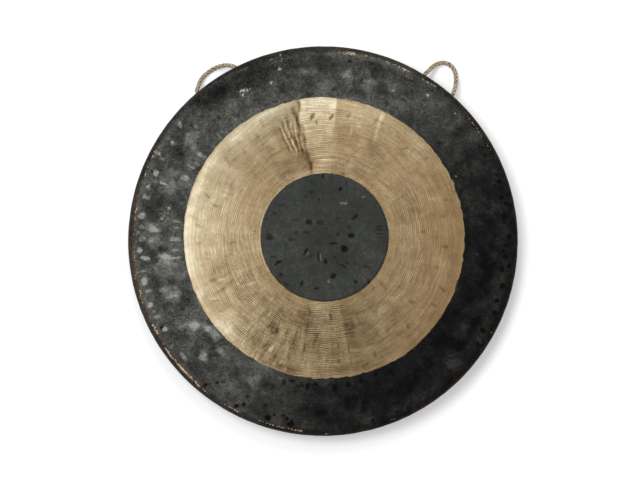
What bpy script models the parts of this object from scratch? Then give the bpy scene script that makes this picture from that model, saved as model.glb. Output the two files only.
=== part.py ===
"""A tam-tam of hammered bronze, 60 cm across, with the two rope loops that it hangs by.

Units are metres. The gong lies face up on the edge of its turned-back rim: the origin is the centre of that
edge's circle, +Z comes out of the face, and +Y points up when the gong hangs. Angles round the rim start at
+Y and go clockwise, as seen from the front.
"""

import math

import bpy
from mathutils import Matrix, Vector

OBJECT_NAME = "tam_tam"

# The gong
GONG_RADIUS = 0.300  # to the widest point of the rim's bend
GONG_HEIGHT = 0.068  # from the back edge to the top of the face
FACE_DROP = 0.017  # how far the face falls from its centre to the rim's bend
FACE_CURVE = 2.6  # the power of the face's curve: a higher one is flatter in the middle
FACE_THICKNESS = 0.0018
RIM_THICKNESS = 0.0022
BEND_RADIUS = 0.009  # outside the bend from face to rim
RIM_TAPER = math.radians(5.0)  # the rim leans in towards its back edge
CENTRE_RADIUS = 0.0987  # of the dark disc in the middle
RING_RADIUS = 0.2168  # outside the scraped ring round it
SCRAPE_DEPTH = 0.0003  # how far the ring is scraped down below the dark skin
SCRAPE_EDGE = 0.0015  # the width over which it goes down

# The rope and its holes
ROPE_DIAMETER = 0.0065
HOLE_CLEARANCE = 0.0008  # all round the rope in its hole
HOLE_HEIGHT = 0.028  # above the back edge
PAIR_ANGLE = math.radians(35.0)  # from the top of the gong to the middle of each pair of holes
LEFT_HOLE_SPACING = 0.068
RIGHT_HOLE_SPACING = 0.052
KNOT_DIAMETER = 0.018
KNOT_LENGTH = 0.015
TAIL_LENGTH = 0.010  # the rope's end beyond the knot
GAP = 0.0003  # between pieces that touch

# How finely the round shapes are cut up
GONG_STEPS = 96
KNOT_STEPS = 16
CENTRE_BANDS = 3
RING_BANDS = 4
OUTER_BANDS = 3
BEND_BANDS = 6
KNOT_BANDS = 8
HOLE_SIDES = 24

# The loops' routes between their two ends: across from the pair's middle, clockwise; out from the line
# through the ends; and up, from the surface that the gong lies on to the underside of the rope
LEFT_ROUTE = (
    (-0.0322, 0.0030, 0.0210),
    (-0.0291, 0.0062, 0.0175),
    (-0.0254, 0.0097, 0.0133),
    (-0.0208, 0.0131, 0.0086),
    (-0.0152, 0.0160, 0.0043),
    (-0.0085, 0.0179, 0.0013),
    (-0.0010, 0.0186, 0.0003),
    (0.0068, 0.0182, 0.0007),
    (0.0141, 0.0166, 0.0032),
    (0.0205, 0.0139, 0.0075),
    (0.0256, 0.0104, 0.0124),
    (0.0294, 0.0067, 0.0170),
    (0.0322, 0.0032, 0.0208),
)
RIGHT_ROUTE = (
    (-0.0259, 0.0045, 0.0218),
    (-0.0253, 0.0095, 0.0185),
    (-0.0246, 0.0150, 0.0146),
    (-0.0233, 0.0212, 0.0102),
    (-0.0210, 0.0271, 0.0062),
    (-0.0174, 0.0325, 0.0029),
    (-0.0124, 0.0366, 0.0009),
    (-0.0062, 0.0386, 0.0003),
    (0.0006, 0.0383, 0.0004),
    (0.0068, 0.0357, 0.0015),
    (0.0120, 0.0314, 0.0040),
    (0.0162, 0.0260, 0.0074),
    (0.0196, 0.0201, 0.0112),
    (0.0224, 0.0142, 0.0150),
    (0.0246, 0.0085, 0.0188),
    (0.0257, 0.0040, 0.0219),
)

ROPE_RADIUS = ROPE_DIAMETER / 2
HOLE_RADIUS = ROPE_RADIUS + HOLE_CLEARANCE
END_STEPS = 3  # rings in each rounded end of a loop
# A loop's rounded end turns about a point this far out of the rim's outer face.
HINGE_OFFSET = ROPE_RADIUS + 2 * GAP

PATINA = ("black_patina", (0.030, 0.027, 0.025, 1.0), 0.62, 0.55)
SCRAPED = ("scraped_bronze", (0.40, 0.30, 0.17, 1.0), 0.38, 1.0)
JUTE = ("jute_rope", (0.36, 0.26, 0.15, 1.0), 0.92, 0.0)


def clear_scene():
    for obj in list(bpy.data.objects):
        bpy.data.objects.remove(obj)


def make_collection(name):
    collection = bpy.data.collections.new(name)
    bpy.context.scene.collection.children.link(collection)
    return collection


def make_material(name, colour, roughness, metallic):
    material = bpy.data.materials.new(name)
    material.use_nodes = True
    shader = material.node_tree.nodes["Principled BSDF"]
    shader.inputs["Base Color"].default_value = colour
    shader.inputs["Roughness"].default_value = roughness
    shader.inputs["Metallic"].default_value = metallic
    return material


def turned(name, profile, steps, collection):
    """An object whose profile of (radius, height) points is turned about its own Z axis."""
    mesh = bpy.data.meshes.new(name)
    points = [(radius, 0.0, height) for radius, height in profile]
    edges = [(i, i + 1) for i in range(len(points) - 1)]
    mesh.from_pydata(points, edges, [])
    obj = bpy.data.objects.new(name, mesh)
    collection.objects.link(obj)
    screw = obj.modifiers.new("Turn", "SCREW")
    screw.axis = "Z"
    screw.steps = steps
    screw.render_steps = steps
    screw.use_merge_vertices = True
    screw.merge_threshold = 0.00001
    screw.use_smooth_shade = True
    return obj


def apply_modifiers(obj):
    graph = bpy.context.evaluated_depsgraph_get()
    mesh = bpy.data.meshes.new_from_object(obj.evaluated_get(graph))
    obj.modifiers.clear()
    obj.data = mesh


def face_height(radius):
    """The height of the hammered face before it is scraped, out to where the bend starts."""
    return GONG_HEIGHT - FACE_DROP * (radius / bend_start()) ** FACE_CURVE


def scraped_height(radius):
    """The height of the face with its ring scraped down."""
    in_ring = CENTRE_RADIUS + SCRAPE_EDGE / 2 < radius < RING_RADIUS - SCRAPE_EDGE / 2
    return face_height(radius) - (SCRAPE_DEPTH if in_ring else 0.0)


def face_slope():
    """How steeply the face falls where the bend starts, as an angle."""
    return math.atan(FACE_DROP * FACE_CURVE / bend_start())


def bend_start():
    """The radius at which the face meets the bend. The bend's widest point is at the gong's radius."""
    start = GONG_RADIUS - BEND_RADIUS
    for _ in range(20):
        start = GONG_RADIUS - BEND_RADIUS * (1 - math.sin(math.atan(FACE_DROP * FACE_CURVE / start)))
    return start


def bend_centre():
    height = GONG_HEIGHT - FACE_DROP - BEND_RADIUS * math.cos(face_slope())
    return GONG_RADIUS - BEND_RADIUS, height


def rim_radius(height):
    """The radius of the rim's outer face at a height below the bend."""
    centre_radius, centre_height = bend_centre()
    end_radius = centre_radius + BEND_RADIUS * math.cos(RIM_TAPER)
    end_height = centre_height - BEND_RADIUS * math.sin(RIM_TAPER)
    return end_radius - (end_height - height) * math.tan(RIM_TAPER)


def face_radii(stops, counts):
    """Radii from the middle of the face to the bend's start, with this many bands up to each stop."""
    radii = [0.0]
    for low, high, bands in zip((0.0, *stops), stops, counts):
        radii += [low + (high - low) * (i + 1) / bands for i in range(bands)]
    return radii[:-1]


def bend_arc(radius):
    """Points of the bend from the face to the rim, at this distance from the bend's centre."""
    centre_radius, centre_height = bend_centre()
    first = math.pi / 2 - face_slope()
    last = -RIM_TAPER
    angles = [first + (last - first) * i / BEND_BANDS for i in range(BEND_BANDS + 1)]
    return [(centre_radius + radius * math.cos(a), centre_height + radius * math.sin(a)) for a in angles]


def gong_profile():
    """The gong's wall cut through: its outer face from the middle to the back edge, then its inner face."""
    inside, outside = CENTRE_RADIUS, RING_RADIUS
    edges = (inside, inside + SCRAPE_EDGE, outside - SCRAPE_EDGE, outside, bend_start())
    outer_radii = face_radii(edges, (CENTRE_BANDS, 1, RING_BANDS, 1, OUTER_BANDS))
    inner_radii = face_radii((inside, outside, bend_start()), (CENTRE_BANDS, RING_BANDS, OUTER_BANDS))
    outer = [(radius, scraped_height(radius)) for radius in outer_radii]
    outer += bend_arc(BEND_RADIUS)
    inner = [(radius, face_height(radius) - FACE_THICKNESS) for radius in inner_radii]
    inner += bend_arc(BEND_RADIUS - FACE_THICKNESS)
    edge = rim_radius(0.0)
    return outer + [(edge, 0.0), (edge - RIM_THICKNESS / math.cos(RIM_TAPER), 0.0)] + inner[::-1]


def hole_frame(pair_angle, across):
    """Where a hole's axis meets the rim's outer face. +Z runs out of the rim, +X clockwise round it."""
    radius = rim_radius(HOLE_HEIGHT)
    angle = pair_angle + math.asin(across / radius)
    away = Vector((math.sin(angle), math.cos(angle), 0.0))
    clockwise = Vector((math.cos(angle), -math.sin(angle), 0.0))
    outwards = away * math.cos(RIM_TAPER) - Vector((0.0, 0.0, math.sin(RIM_TAPER)))
    place = away * radius + Vector((0.0, 0.0, HOLE_HEIGHT))
    columns = (clockwise, outwards.cross(clockwise), outwards)
    return Matrix.Translation(place) @ Matrix(columns).transposed().to_4x4()


def hinge_frame(pair_angle, spacing):
    """The middle of the line between a loop's two ends, with +X along it and +Y off the gong; its length."""
    end = Vector((0.0, 0.0, HINGE_OFFSET))
    ends = [hole_frame(pair_angle, across) @ end for across in (-spacing / 2, spacing / 2)]
    turn = Matrix.Rotation(-pair_angle, 4, "Z")
    return Matrix.Translation((ends[0] + ends[1]) / 2) @ turn, (ends[1] - ends[0]).length


def hole_cutter(name, pair_angle, across, collection):
    length = 6 * RIM_THICKNESS
    bpy.ops.mesh.primitive_cylinder_add(vertices=HOLE_SIDES, radius=HOLE_RADIUS, depth=length)
    cutter = bpy.context.object
    cutter.name = name
    cutter.matrix_world = hole_frame(pair_angle, across)
    for other in cutter.users_collection:
        other.objects.unlink(cutter)
    collection.objects.link(cutter)
    cutter.hide_render = True
    cutter.display_type = "WIRE"
    return cutter


def make_gong(parts, cutters, pairs):
    gong = turned("gong_disc", gong_profile(), GONG_STEPS, parts)
    for side, pair_angle, spacing, _ in pairs:
        for end, across in hole_ends(side, spacing):
            cut = gong.modifiers.new(f"{side} {end} hole", "BOOLEAN")
            cut.operation = "DIFFERENCE"
            cut.solver = "EXACT"
            cut.object = hole_cutter(f"{side}_{end}_hole_cutter", pair_angle, across, cutters)
    apply_modifiers(gong)
    gong.data.materials.clear()
    gong.data.materials.append(make_material(*PATINA))
    gong.data.materials.append(make_material(*SCRAPED))
    for face in gong.data.polygons:
        in_ring = CENTRE_RADIUS < face.center.to_2d().length < RING_RADIUS
        face.material_index = 1 if in_ring and face.normal.z > 0 else 0
    gong.data.shade_smooth()
    gong.data.set_sharp_from_angle(angle=math.radians(40.0))
    return gong


def hole_ends(side, spacing):
    """Each hole's name and its distance clockwise from the pair's middle."""
    ends = (("upper", -spacing / 2), ("lower", spacing / 2))
    return ends if side == "right" else (("lower", -spacing / 2), ("upper", spacing / 2))


def knot_profile():
    """The rope through its hole, the knot that stops it inside the rim and the short end beyond."""
    half = KNOT_LENGTH / 2
    knot_radius = KNOT_DIAMETER / 2
    # The knot's round shoulder seats on the edge of the hole, on the inner face of the rim.
    sunk = half * (1 - math.sqrt(1 - (HOLE_RADIUS / knot_radius) ** 2))
    middle = -(RIM_THICKNESS + GAP + half - sunk)
    first = math.asin(ROPE_RADIUS / knot_radius)
    angles = [first + (math.pi - 2 * first) * i / KNOT_BANDS for i in range(KNOT_BANDS + 1)]
    knot = [(knot_radius * math.sin(a), middle + half * math.cos(a)) for a in angles]
    tail = middle - half - TAIL_LENGTH
    return [(0.0, GAP), (ROPE_RADIUS, GAP)] + knot + [(ROPE_RADIUS, tail), (0.0, tail)]


def make_knot(name, pair_angle, across, jute, parts):
    knot = turned(name, knot_profile(), KNOT_STEPS, parts)
    knot.matrix_world = hole_frame(pair_angle, across)
    knot.data.materials.append(jute)
    return knot


def smooth_route(points):
    """Points about a rope's diameter apart on the smooth curve through the given ones."""
    ends = [2 * points[0] - points[1]], [2 * points[-1] - points[-2]]
    padded = ends[0] + points + ends[1]
    fine = []
    for a, b, c, d in zip(padded, padded[1:], padded[2:], padded[3:]):
        for i in range(20):
            t = i / 20
            fine.append(0.5 * (2 * b + (c - a) * t + (2 * a - 5 * b + 4 * c - d) * t**2
                               + (3 * b - a - 3 * c + d) * t**3))
    fine.append(points[-1])
    steps = [(b - a).length for a, b in zip(fine, fine[1:])]
    count = round(sum(steps) / ROPE_DIAMETER)
    spacing = sum(steps) / count
    route = [fine[0]]
    gone = 0.0
    for point, step in zip(fine, steps):
        if gone < spacing * len(route) <= gone + step and len(route) < count:
            route.append(point)
        gone += step
    return route + [fine[-1]]


def rounded_end(end, inwards):
    """Points and radii that round a tube off about its end point."""
    angles = [math.radians(80.0) * (END_STEPS - i) / END_STEPS for i in range(END_STEPS)]
    return [(end - inwards * ROPE_RADIUS * math.sin(a), math.cos(a)) for a in angles]


def make_loop(name, frame, span, route, jute, parts):
    """A free stretch of rope, with its origin on the line through its two ends, which it swings about."""
    hinge = bpy.data.objects.new(f"{name}_hinge", None)
    hinge.matrix_world = frame
    parts.objects.link(hinge)
    up = frame.translation.z - ROPE_RADIUS
    points = [Vector((-span / 2, 0.0, 0.0))]
    points += [Vector((across, out, lift - up)) for across, out, lift in route]
    points += [Vector((span / 2, 0.0, 0.0))]
    points = smooth_route(points)
    start = rounded_end(points[0], (points[1] - points[0]).normalized())
    finish = rounded_end(points[-1], (points[-2] - points[-1]).normalized())
    stations = start + [(point, 1.0) for point in points] + finish[::-1]
    curve = bpy.data.curves.new(name, "CURVE")
    curve.dimensions = "3D"
    curve.bevel_depth = ROPE_RADIUS
    curve.bevel_resolution = 3
    curve.use_fill_caps = True
    curve.materials.append(jute)
    spline = curve.splines.new("POLY")
    spline.points.add(len(stations) - 1)
    spline.use_smooth = True
    for station, (point, radius) in zip(spline.points, stations):
        station.co = (*point, 1.0)
        station.radius = radius
    loop = bpy.data.objects.new(name, curve)
    loop.parent = hinge
    parts.objects.link(loop)
    return loop


def main():
    clear_scene()
    parts = make_collection(OBJECT_NAME)
    cutters = make_collection(f"{OBJECT_NAME}_cutters")
    jute = make_material(*JUTE)
    pairs = (
        ("left", -PAIR_ANGLE, LEFT_HOLE_SPACING, LEFT_ROUTE),
        ("right", PAIR_ANGLE, RIGHT_HOLE_SPACING, RIGHT_ROUTE),
    )
    make_gong(parts, cutters, pairs)
    for side, pair_angle, spacing, route in pairs:
        for end, across in hole_ends(side, spacing):
            make_knot(f"{side}_rope_{end}_knot", pair_angle, across, jute, parts)
        frame, span = hinge_frame(pair_angle, spacing)
        make_loop(f"{side}_rope_loop", frame, span, route, jute, parts)


main()
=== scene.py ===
"""The looks of a tam-tam of hammered bronze, lying face up on a pale floor with its two rope loops.

Units are metres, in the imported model's frame: the origin is the centre of the circle that the rim's back edge
stands on, +Z comes out of the face and +Y points up when the gong hangs. Clock angles are degrees clockwise
from the top of the picture, as the gong's front is seen.
"""

import math

import bpy
import numpy as np
from mathutils import Matrix, Vector


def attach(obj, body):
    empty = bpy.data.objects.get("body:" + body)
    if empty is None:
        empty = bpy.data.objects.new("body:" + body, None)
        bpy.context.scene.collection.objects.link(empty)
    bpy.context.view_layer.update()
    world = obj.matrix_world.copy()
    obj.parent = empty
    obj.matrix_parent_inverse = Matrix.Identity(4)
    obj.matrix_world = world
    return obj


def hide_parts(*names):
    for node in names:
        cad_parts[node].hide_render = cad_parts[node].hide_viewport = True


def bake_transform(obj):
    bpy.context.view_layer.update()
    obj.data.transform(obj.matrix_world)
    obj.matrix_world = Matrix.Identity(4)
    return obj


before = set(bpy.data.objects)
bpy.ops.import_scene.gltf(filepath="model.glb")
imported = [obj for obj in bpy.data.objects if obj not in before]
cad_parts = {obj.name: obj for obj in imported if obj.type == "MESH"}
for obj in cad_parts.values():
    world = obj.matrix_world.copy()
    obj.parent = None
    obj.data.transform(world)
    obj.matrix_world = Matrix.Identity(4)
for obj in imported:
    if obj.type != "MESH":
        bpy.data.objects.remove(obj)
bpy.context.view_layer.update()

# The gong, as in the part
GONG_RADIUS = 0.300
GONG_HEIGHT = 0.068
FACE_DROP = 0.017
FACE_CURVE = 2.6
FACE_THICKNESS = 0.0018
RIM_THICKNESS = 0.0022
BEND_RADIUS = 0.009
RIM_TAPER = math.radians(5.0)
SCRAPE_DEPTH = 0.0003

# The dark disc in the middle and the scraped ring round it, up to 2 mm smaller than in the part, as the
# photograph shows their edges. They were scraped by hand, so their centres are a little off the gong's own.
CENTRE_RADIUS = 0.0979
RING_RADIUS = 0.2150
CENTRE_OFFSET = (0.0023, 0.0058)
RING_OFFSET = (0.0018, 0.0045)
ROUND_FROM = 0.272  # from here out the circles are concentric with the rim
FINE_PITCH = 0.0027  # between the scraper's grooves
COARSE_PITCH = 0.0060  # where it was run with a stronger bite
RIPPLE_PITCH = 0.0047  # near the ring's inner edge at the top

# The rope and its holes, as in the part
ROPE_DIAMETER = 0.0065
HOLE_CLEARANCE = 0.0008
HOLE_HEIGHT = 0.028
PAIR_ANGLE = math.radians(35.0)
LEFT_HOLE_SPACING = 0.068
RIGHT_HOLE_SPACING = 0.052
GAP = 0.0003
ROPE_RADIUS = ROPE_DIAMETER / 2
HINGE_OFFSET = ROPE_RADIUS + 2 * GAP
LEFT_ROUTE = (
    (-0.0322, 0.0030, 0.0210),
    (-0.0291, 0.0062, 0.0175),
    (-0.0254, 0.0097, 0.0133),
    (-0.0208, 0.0131, 0.0086),
    (-0.0152, 0.0160, 0.0043),
    (-0.0085, 0.0179, 0.0013),
    (-0.0010, 0.0186, 0.0003),
    (0.0068, 0.0182, 0.0007),
    (0.0141, 0.0166, 0.0032),
    (0.0205, 0.0139, 0.0075),
    (0.0256, 0.0104, 0.0124),
    (0.0294, 0.0067, 0.0170),
    (0.0322, 0.0032, 0.0208),
)
RIGHT_ROUTE = (
    (-0.0259, 0.0045, 0.0218),
    (-0.0253, 0.0095, 0.0185),
    (-0.0246, 0.0150, 0.0146),
    (-0.0233, 0.0212, 0.0102),
    (-0.0210, 0.0271, 0.0062),
    (-0.0174, 0.0325, 0.0029),
    (-0.0124, 0.0366, 0.0009),
    (-0.0062, 0.0386, 0.0003),
    (0.0006, 0.0383, 0.0004),
    (0.0068, 0.0357, 0.0015),
    (0.0120, 0.0314, 0.0040),
    (0.0162, 0.0260, 0.0074),
    (0.0196, 0.0201, 0.0112),
    (0.0224, 0.0142, 0.0150),
    (0.0246, 0.0085, 0.0188),
    (0.0257, 0.0040, 0.0219),
)

# The camera: straight above, a little left of the gong's middle, turned 1.5 degrees
CAMERA_DISTANCE = 3.0  # above the gong's widest circle
CAMERA_TURN = 1.5  # degrees
PIXELS_PER_METRE = 649.7  # at the gong's widest circle, in a picture 640 pixels wide
WIDEST_HEIGHT = 0.042
PICTURE_WIDTH = 640
SENSOR_WIDTH = 36.0
AIM = (-0.0046, 0.0016)  # the point of the gong at the picture's middle

# The surroundings, and the lamps: place, width, power and whether the metal mirrors it. Most of the key light
# is kept out of the metal, which mirrors the pale surroundings instead.
WORLD_LEVEL = 0.55
FLOOR_GLOW = 0.25
FLOOR_HALF = 6.0
FLOOR_COLOUR = (0.86, 0.86, 0.87, 1.0)
LAMPS = {
    "soft_key": ((-0.70, 0.46, 2.5), 0.9, 16.0, False),
    "key_sheen": ((-0.70, 0.46, 2.5), 0.9, 14.0, True),
    "top_fill": ((-0.10, 1.60, 2.3), 0.7, 11.0, False),
    "top_sheen": ((-0.10, 1.35, 2.3), 0.7, 3.0, True),
}


# Shapes shared with the part


def bend_start():
    start = GONG_RADIUS - BEND_RADIUS
    for _ in range(20):
        start = GONG_RADIUS - BEND_RADIUS * (1 - math.sin(math.atan(FACE_DROP * FACE_CURVE / start)))
    return start


BEND_START = bend_start()
FACE_SLOPE = math.atan(FACE_DROP * FACE_CURVE / BEND_START)
BEND_CENTRE = (GONG_RADIUS - BEND_RADIUS, GONG_HEIGHT - FACE_DROP - BEND_RADIUS * math.cos(FACE_SLOPE))


def face_height(radius):
    return GONG_HEIGHT - FACE_DROP * (radius / BEND_START) ** FACE_CURVE


def rim_radius(height):
    """The radius of the rim's outer face at a height below the bend."""
    end_radius = BEND_CENTRE[0] + BEND_RADIUS * math.cos(RIM_TAPER)
    end_height = BEND_CENTRE[1] - BEND_RADIUS * math.sin(RIM_TAPER)
    return end_radius - (end_height - height) * math.tan(RIM_TAPER)


def hole_frame(pair_angle, across):
    """Where a hole's axis meets the rim's outer face. +Z runs out of the rim, +X clockwise round it."""
    radius = rim_radius(HOLE_HEIGHT)
    angle = pair_angle + math.asin(across / radius)
    away = Vector((math.sin(angle), math.cos(angle), 0.0))
    clockwise = Vector((math.cos(angle), -math.sin(angle), 0.0))
    outwards = away * math.cos(RIM_TAPER) - Vector((0.0, 0.0, math.sin(RIM_TAPER)))
    place = away * radius + Vector((0.0, 0.0, HOLE_HEIGHT))
    columns = (clockwise, outwards.cross(clockwise), outwards)
    return Matrix.Translation(place) @ Matrix(columns).transposed().to_4x4()


def hinge_frame(pair_angle, spacing):
    """The middle of the line between a loop's two ends, with +X along it and +Y off the gong; its length."""
    end = Vector((0.0, 0.0, HINGE_OFFSET))
    ends = [hole_frame(pair_angle, across) @ end for across in (-spacing / 2, spacing / 2)]
    turn = Matrix.Rotation(-pair_angle, 4, "Z")
    return Matrix.Translation((ends[0] + ends[1]) / 2) @ turn, (ends[1] - ends[0]).length


def add_object(name, data):
    obj = bpy.data.objects.new(name, data)
    bpy.context.collection.objects.link(obj)
    return obj


# Camera, lights and floor


def make_camera():
    data = bpy.data.cameras.new("camera")
    data.sensor_width = SENSOR_WIDTH
    data.lens = PIXELS_PER_METRE * CAMERA_DISTANCE * SENSOR_WIDTH / PICTURE_WIDTH
    data.clip_start = 0.05
    data.clip_end = 100.0
    camera = add_object("camera", data)
    camera.location = (*AIM, WIDEST_HEIGHT + CAMERA_DISTANCE)
    camera.rotation_euler = (0.0, 0.0, math.radians(CAMERA_TURN))
    bpy.context.scene.camera = camera


def make_lamps():
    for name, (place, width, power, mirrored) in LAMPS.items():
        data = bpy.data.lights.new(name, "AREA")
        data.shape = "RECTANGLE"
        data.size = data.size_y = width
        data.energy = power
        lamp = add_object(name, data)
        lamp.location = place
        lamp.visible_glossy = mirrored
        lamp.rotation_euler = (-Vector(place)).to_track_quat("-Z", "Y").to_euler()


def seen_directly(tree):
    """1 for rays from the camera, and those that gloss or glass sends on; 0 for the rest."""
    path = tree.nodes.new("ShaderNodeLightPath")
    total = path.outputs["Is Camera Ray"]
    for name in ("Is Glossy Ray", "Is Transmission Ray"):
        either = tree.nodes.new("ShaderNodeMath")
        either.operation = "MAXIMUM"
        tree.links.new(total, either.inputs[0])
        tree.links.new(path.outputs[name], either.inputs[1])
        total = either.outputs[0]
    return total


def make_world():
    world = bpy.data.worlds.new("studio")
    bpy.context.scene.world = world
    world.use_nodes = True
    tree = world.node_tree
    background = tree.nodes["Background"]
    background.inputs["Color"].default_value = (1.0, 1.0, 1.0, 1.0)
    strength = tree.nodes.new("ShaderNodeMapRange")
    strength.inputs["To Min"].default_value = WORLD_LEVEL
    strength.inputs["To Max"].default_value = 1.0
    tree.links.new(seen_directly(tree), strength.inputs["Value"])
    tree.links.new(strength.outputs["Result"], background.inputs["Strength"])


def make_floor_material():
    """A plain matte white that glows a little where it is seen directly."""
    material = bpy.data.materials.new("floor")
    material.use_nodes = True
    tree = material.node_tree
    tree.nodes.remove(tree.nodes["Principled BSDF"])
    diffuse = tree.nodes.new("ShaderNodeBsdfDiffuse")
    diffuse.inputs["Color"].default_value = FLOOR_COLOUR
    glow = tree.nodes.new("ShaderNodeEmission")
    lit = tree.nodes.new("ShaderNodeMath")
    lit.operation = "MULTIPLY"
    lit.inputs[1].default_value = FLOOR_GLOW
    tree.links.new(seen_directly(tree), lit.inputs[0])
    tree.links.new(lit.outputs[0], glow.inputs["Strength"])
    both = tree.nodes.new("ShaderNodeAddShader")
    tree.links.new(diffuse.outputs[0], both.inputs[0])
    tree.links.new(glow.outputs[0], both.inputs[1])
    tree.links.new(both.outputs[0], tree.nodes["Material Output"].inputs["Surface"])
    return material


def make_floor():
    mesh = bpy.data.meshes.new("floor")
    corners = [(x * FLOOR_HALF, y * FLOOR_HALF, 0.0) for x, y in ((-1, -1), (1, -1), (1, 1), (-1, 1))]
    mesh.from_pydata(corners, [], [(0, 1, 2, 3)])
    mesh.materials.append(make_floor_material())
    floor = add_object("floor", mesh)


# Ropes

IN_HOLE = 0.0055  # how far past the rim's outer face the loop's own mesh runs into its holes
KNOT_LEAD = 0.0035  # where the knotted end takes over from it
KNOT_DEPTH = 0.0148  # the middle of the knot, whose near side bears on the inside of the rim
KNOT_END = 0.0318  # the cut end of the rope
PATH_STEP = 0.0007
KNOT_PATH_STEP = 0.0008
REACH = 0.955  # the loops lie a little closer to the rim than the part's plain ones
FULLNESS = 1.05  # the free rope is a little fatter than where it is squeezed in its holes
STRANDS = 3
YARNS = 6
STRAND_SIDES = 20
STRAND_SHARE = 0.535  # a strand's radius as a share of the rope's
LAY = 0.021  # one full turn of a strand round the rope
YARN_LAY = 0.0026  # for each radian that the yarns turn round their strand
LOOP_FIBRES = 170
KNOT_FIBRES = 60
FIBRE_ANGLES = np.array([0.0, 2.1, 4.2])
FIBRE_RADII = (0.00011, 0.00005)  # at a fibre's root and tip
FIBRE_FLOOR = 0.0002  # loose fibres stay this far above the floor
FIBRE_STEPS = (5, 10)  # a fibre's least length, and the first that is too long, in steps of the rope's path
FIBRE_TURN = 0.9  # how far it may turn round the rope, in radians
FIBRE_ROOT = 0.93  # where it leaves the rope, as a share of the rope's radius
FIBRE_LIFT = (0.0002, 0.0016)  # between these, how far its tip stands off
SWAY, SWAY_LENGTH = 0.25, 0.013  # how far the strands wander in their lay, in radians, and over what length
SWELL, SWELL_LENGTH = 0.05, 0.004  # how much a strand's thickness varies, and over what length
SWELL_RANDOM = 0.03  # and how much at random
YARN_GROOVE, YARN_CREST = 0.95, 0.085  # a strand's radius between its yarns, and how much more it is on them
CUT_TAPER = (0.55, 0.85)  # the last two rings of a cut end, as shares of the strand's radius
STRAND_APART = 7.0  # between the strands in the jute's pattern
ROUTE_STEPS = 20  # between two given points of a route
KNOT_TURNS = {"upper": 0.6, "lower": 2.4}  # how far each knot is turned about its hole, in radians

# How the overhand knot is pulled tight, in rope diameters
KNOT_POINTS = 96
KNOT_ROUNDS = 2600
TIGHT_STEP = 0.192  # between points of its centreline at the end
LOOSE_HALF = 9.0  # from the middle to each end at first
TIGHT_HALF = 4.2  # and at the end
NEIGHBOURS = 1.35  # the rope doesn't push itself apart nearer along it than this


def distances(points):
    """How far along a path each of its points is."""
    return np.r_[0.0, np.cumsum(np.linalg.norm(np.diff(points, axis=0), axis=1))]


def spread(points, count):
    """This many points spread evenly along a path."""
    gone = distances(points)
    even = np.linspace(0.0, gone[-1], count)
    return np.column_stack([np.interp(even, gone, points[:, k]) for k in range(3)])


def even_route(points, step):
    """Points a step apart on the smooth curve through the given ones, as an array."""
    points = [Vector(p) for p in points]
    padded = [2 * points[0] - points[1]] + points + [2 * points[-1] - points[-2]]
    fine = []
    for a, b, c, d in zip(padded, padded[1:], padded[2:], padded[3:]):
        for i in range(ROUTE_STEPS):
            t = i / ROUTE_STEPS
            fine.append(0.5 * (2 * b + (c - a) * t + (2 * a - 5 * b + 4 * c - d) * t**2
                               + (3 * b - a - 3 * c + d) * t**3))
    fine = np.array([*fine, points[-1]])
    return spread(fine, max(2, round(distances(fine)[-1] / step)) + 1)


def loop_path(pair_angle, spacing, route):
    """The rope's centreline in the row frame: in at the first hole, round the loop, out at the second."""
    hinge, span = hinge_frame(pair_angle, spacing)
    up = hinge.translation.z - ROPE_RADIUS
    inside = Vector((0.0, 0.0, -IN_HOLE))
    first, last = (hole_frame(pair_angle, across) for across in (-spacing / 2, spacing / 2))
    points = [first @ inside, first @ (inside * 0.4), hinge @ Vector((-span / 2, 0.0, 0.0))]
    points += [hinge @ Vector((across, out * REACH, lift - up)) for across, out, lift in route]
    points += [hinge @ Vector((span / 2, 0.0, 0.0)), last @ (inside * 0.4), last @ inside]
    return even_route(points, PATH_STEP)


class Path:
    """A rope's centreline, with its tangents and two normals at each point, which don't turn about it."""

    def __init__(self, points):
        self.points = points
        self.gone = distances(points)
        self.tangents = np.gradient(points, axis=0)
        self.tangents /= np.linalg.norm(self.tangents, axis=1)[:, None]
        first = self.tangents[0]
        side = np.cross(first, (0.0, 0.0, 1.0) if abs(first[2]) < 0.9 else (1.0, 0.0, 0.0))
        sides = []
        for tangent in self.tangents:
            side = side - tangent * (side @ tangent)
            side = side / np.linalg.norm(side)
            sides.append(side)
        self.sides = np.array(sides)
        self.ups = np.cross(self.tangents, self.sides)

    def outwards(self, turn, span=slice(None)):
        """The direction away from the path that is turned this far from its side."""
        return self.sides[span] * np.cos(turn)[:, None] + self.ups[span] * np.sin(turn)[:, None]


def circles(centres, across, up, radii, angles):
    """Rings of points about the centres, as an array of (ring, point, xyz)."""
    return (centres[:, None, :] + across[:, None, :] * (radii * np.cos(angles))[:, :, None]
            + up[:, None, :] * (radii * np.sin(angles))[:, :, None])


def closed_tubes(tubes):
    """Vertices and faces of tubes through such rings, with both ends closed."""
    faces = []
    base = 0
    for rings in tubes:
        count, sides, _ = rings.shape
        for start in range(base, base + (count - 1) * sides, sides):
            for k in range(sides):
                n = (k + 1) % sides
                faces.append((start + k, start + n, start + sides + n, start + sides + k))
        faces.append(tuple(range(base, base + sides))[::-1])
        base += count * sides
        faces.append(tuple(range(base - sides, base)))
    return np.concatenate([rings.reshape(-1, 3) for rings in tubes]), faces


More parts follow.
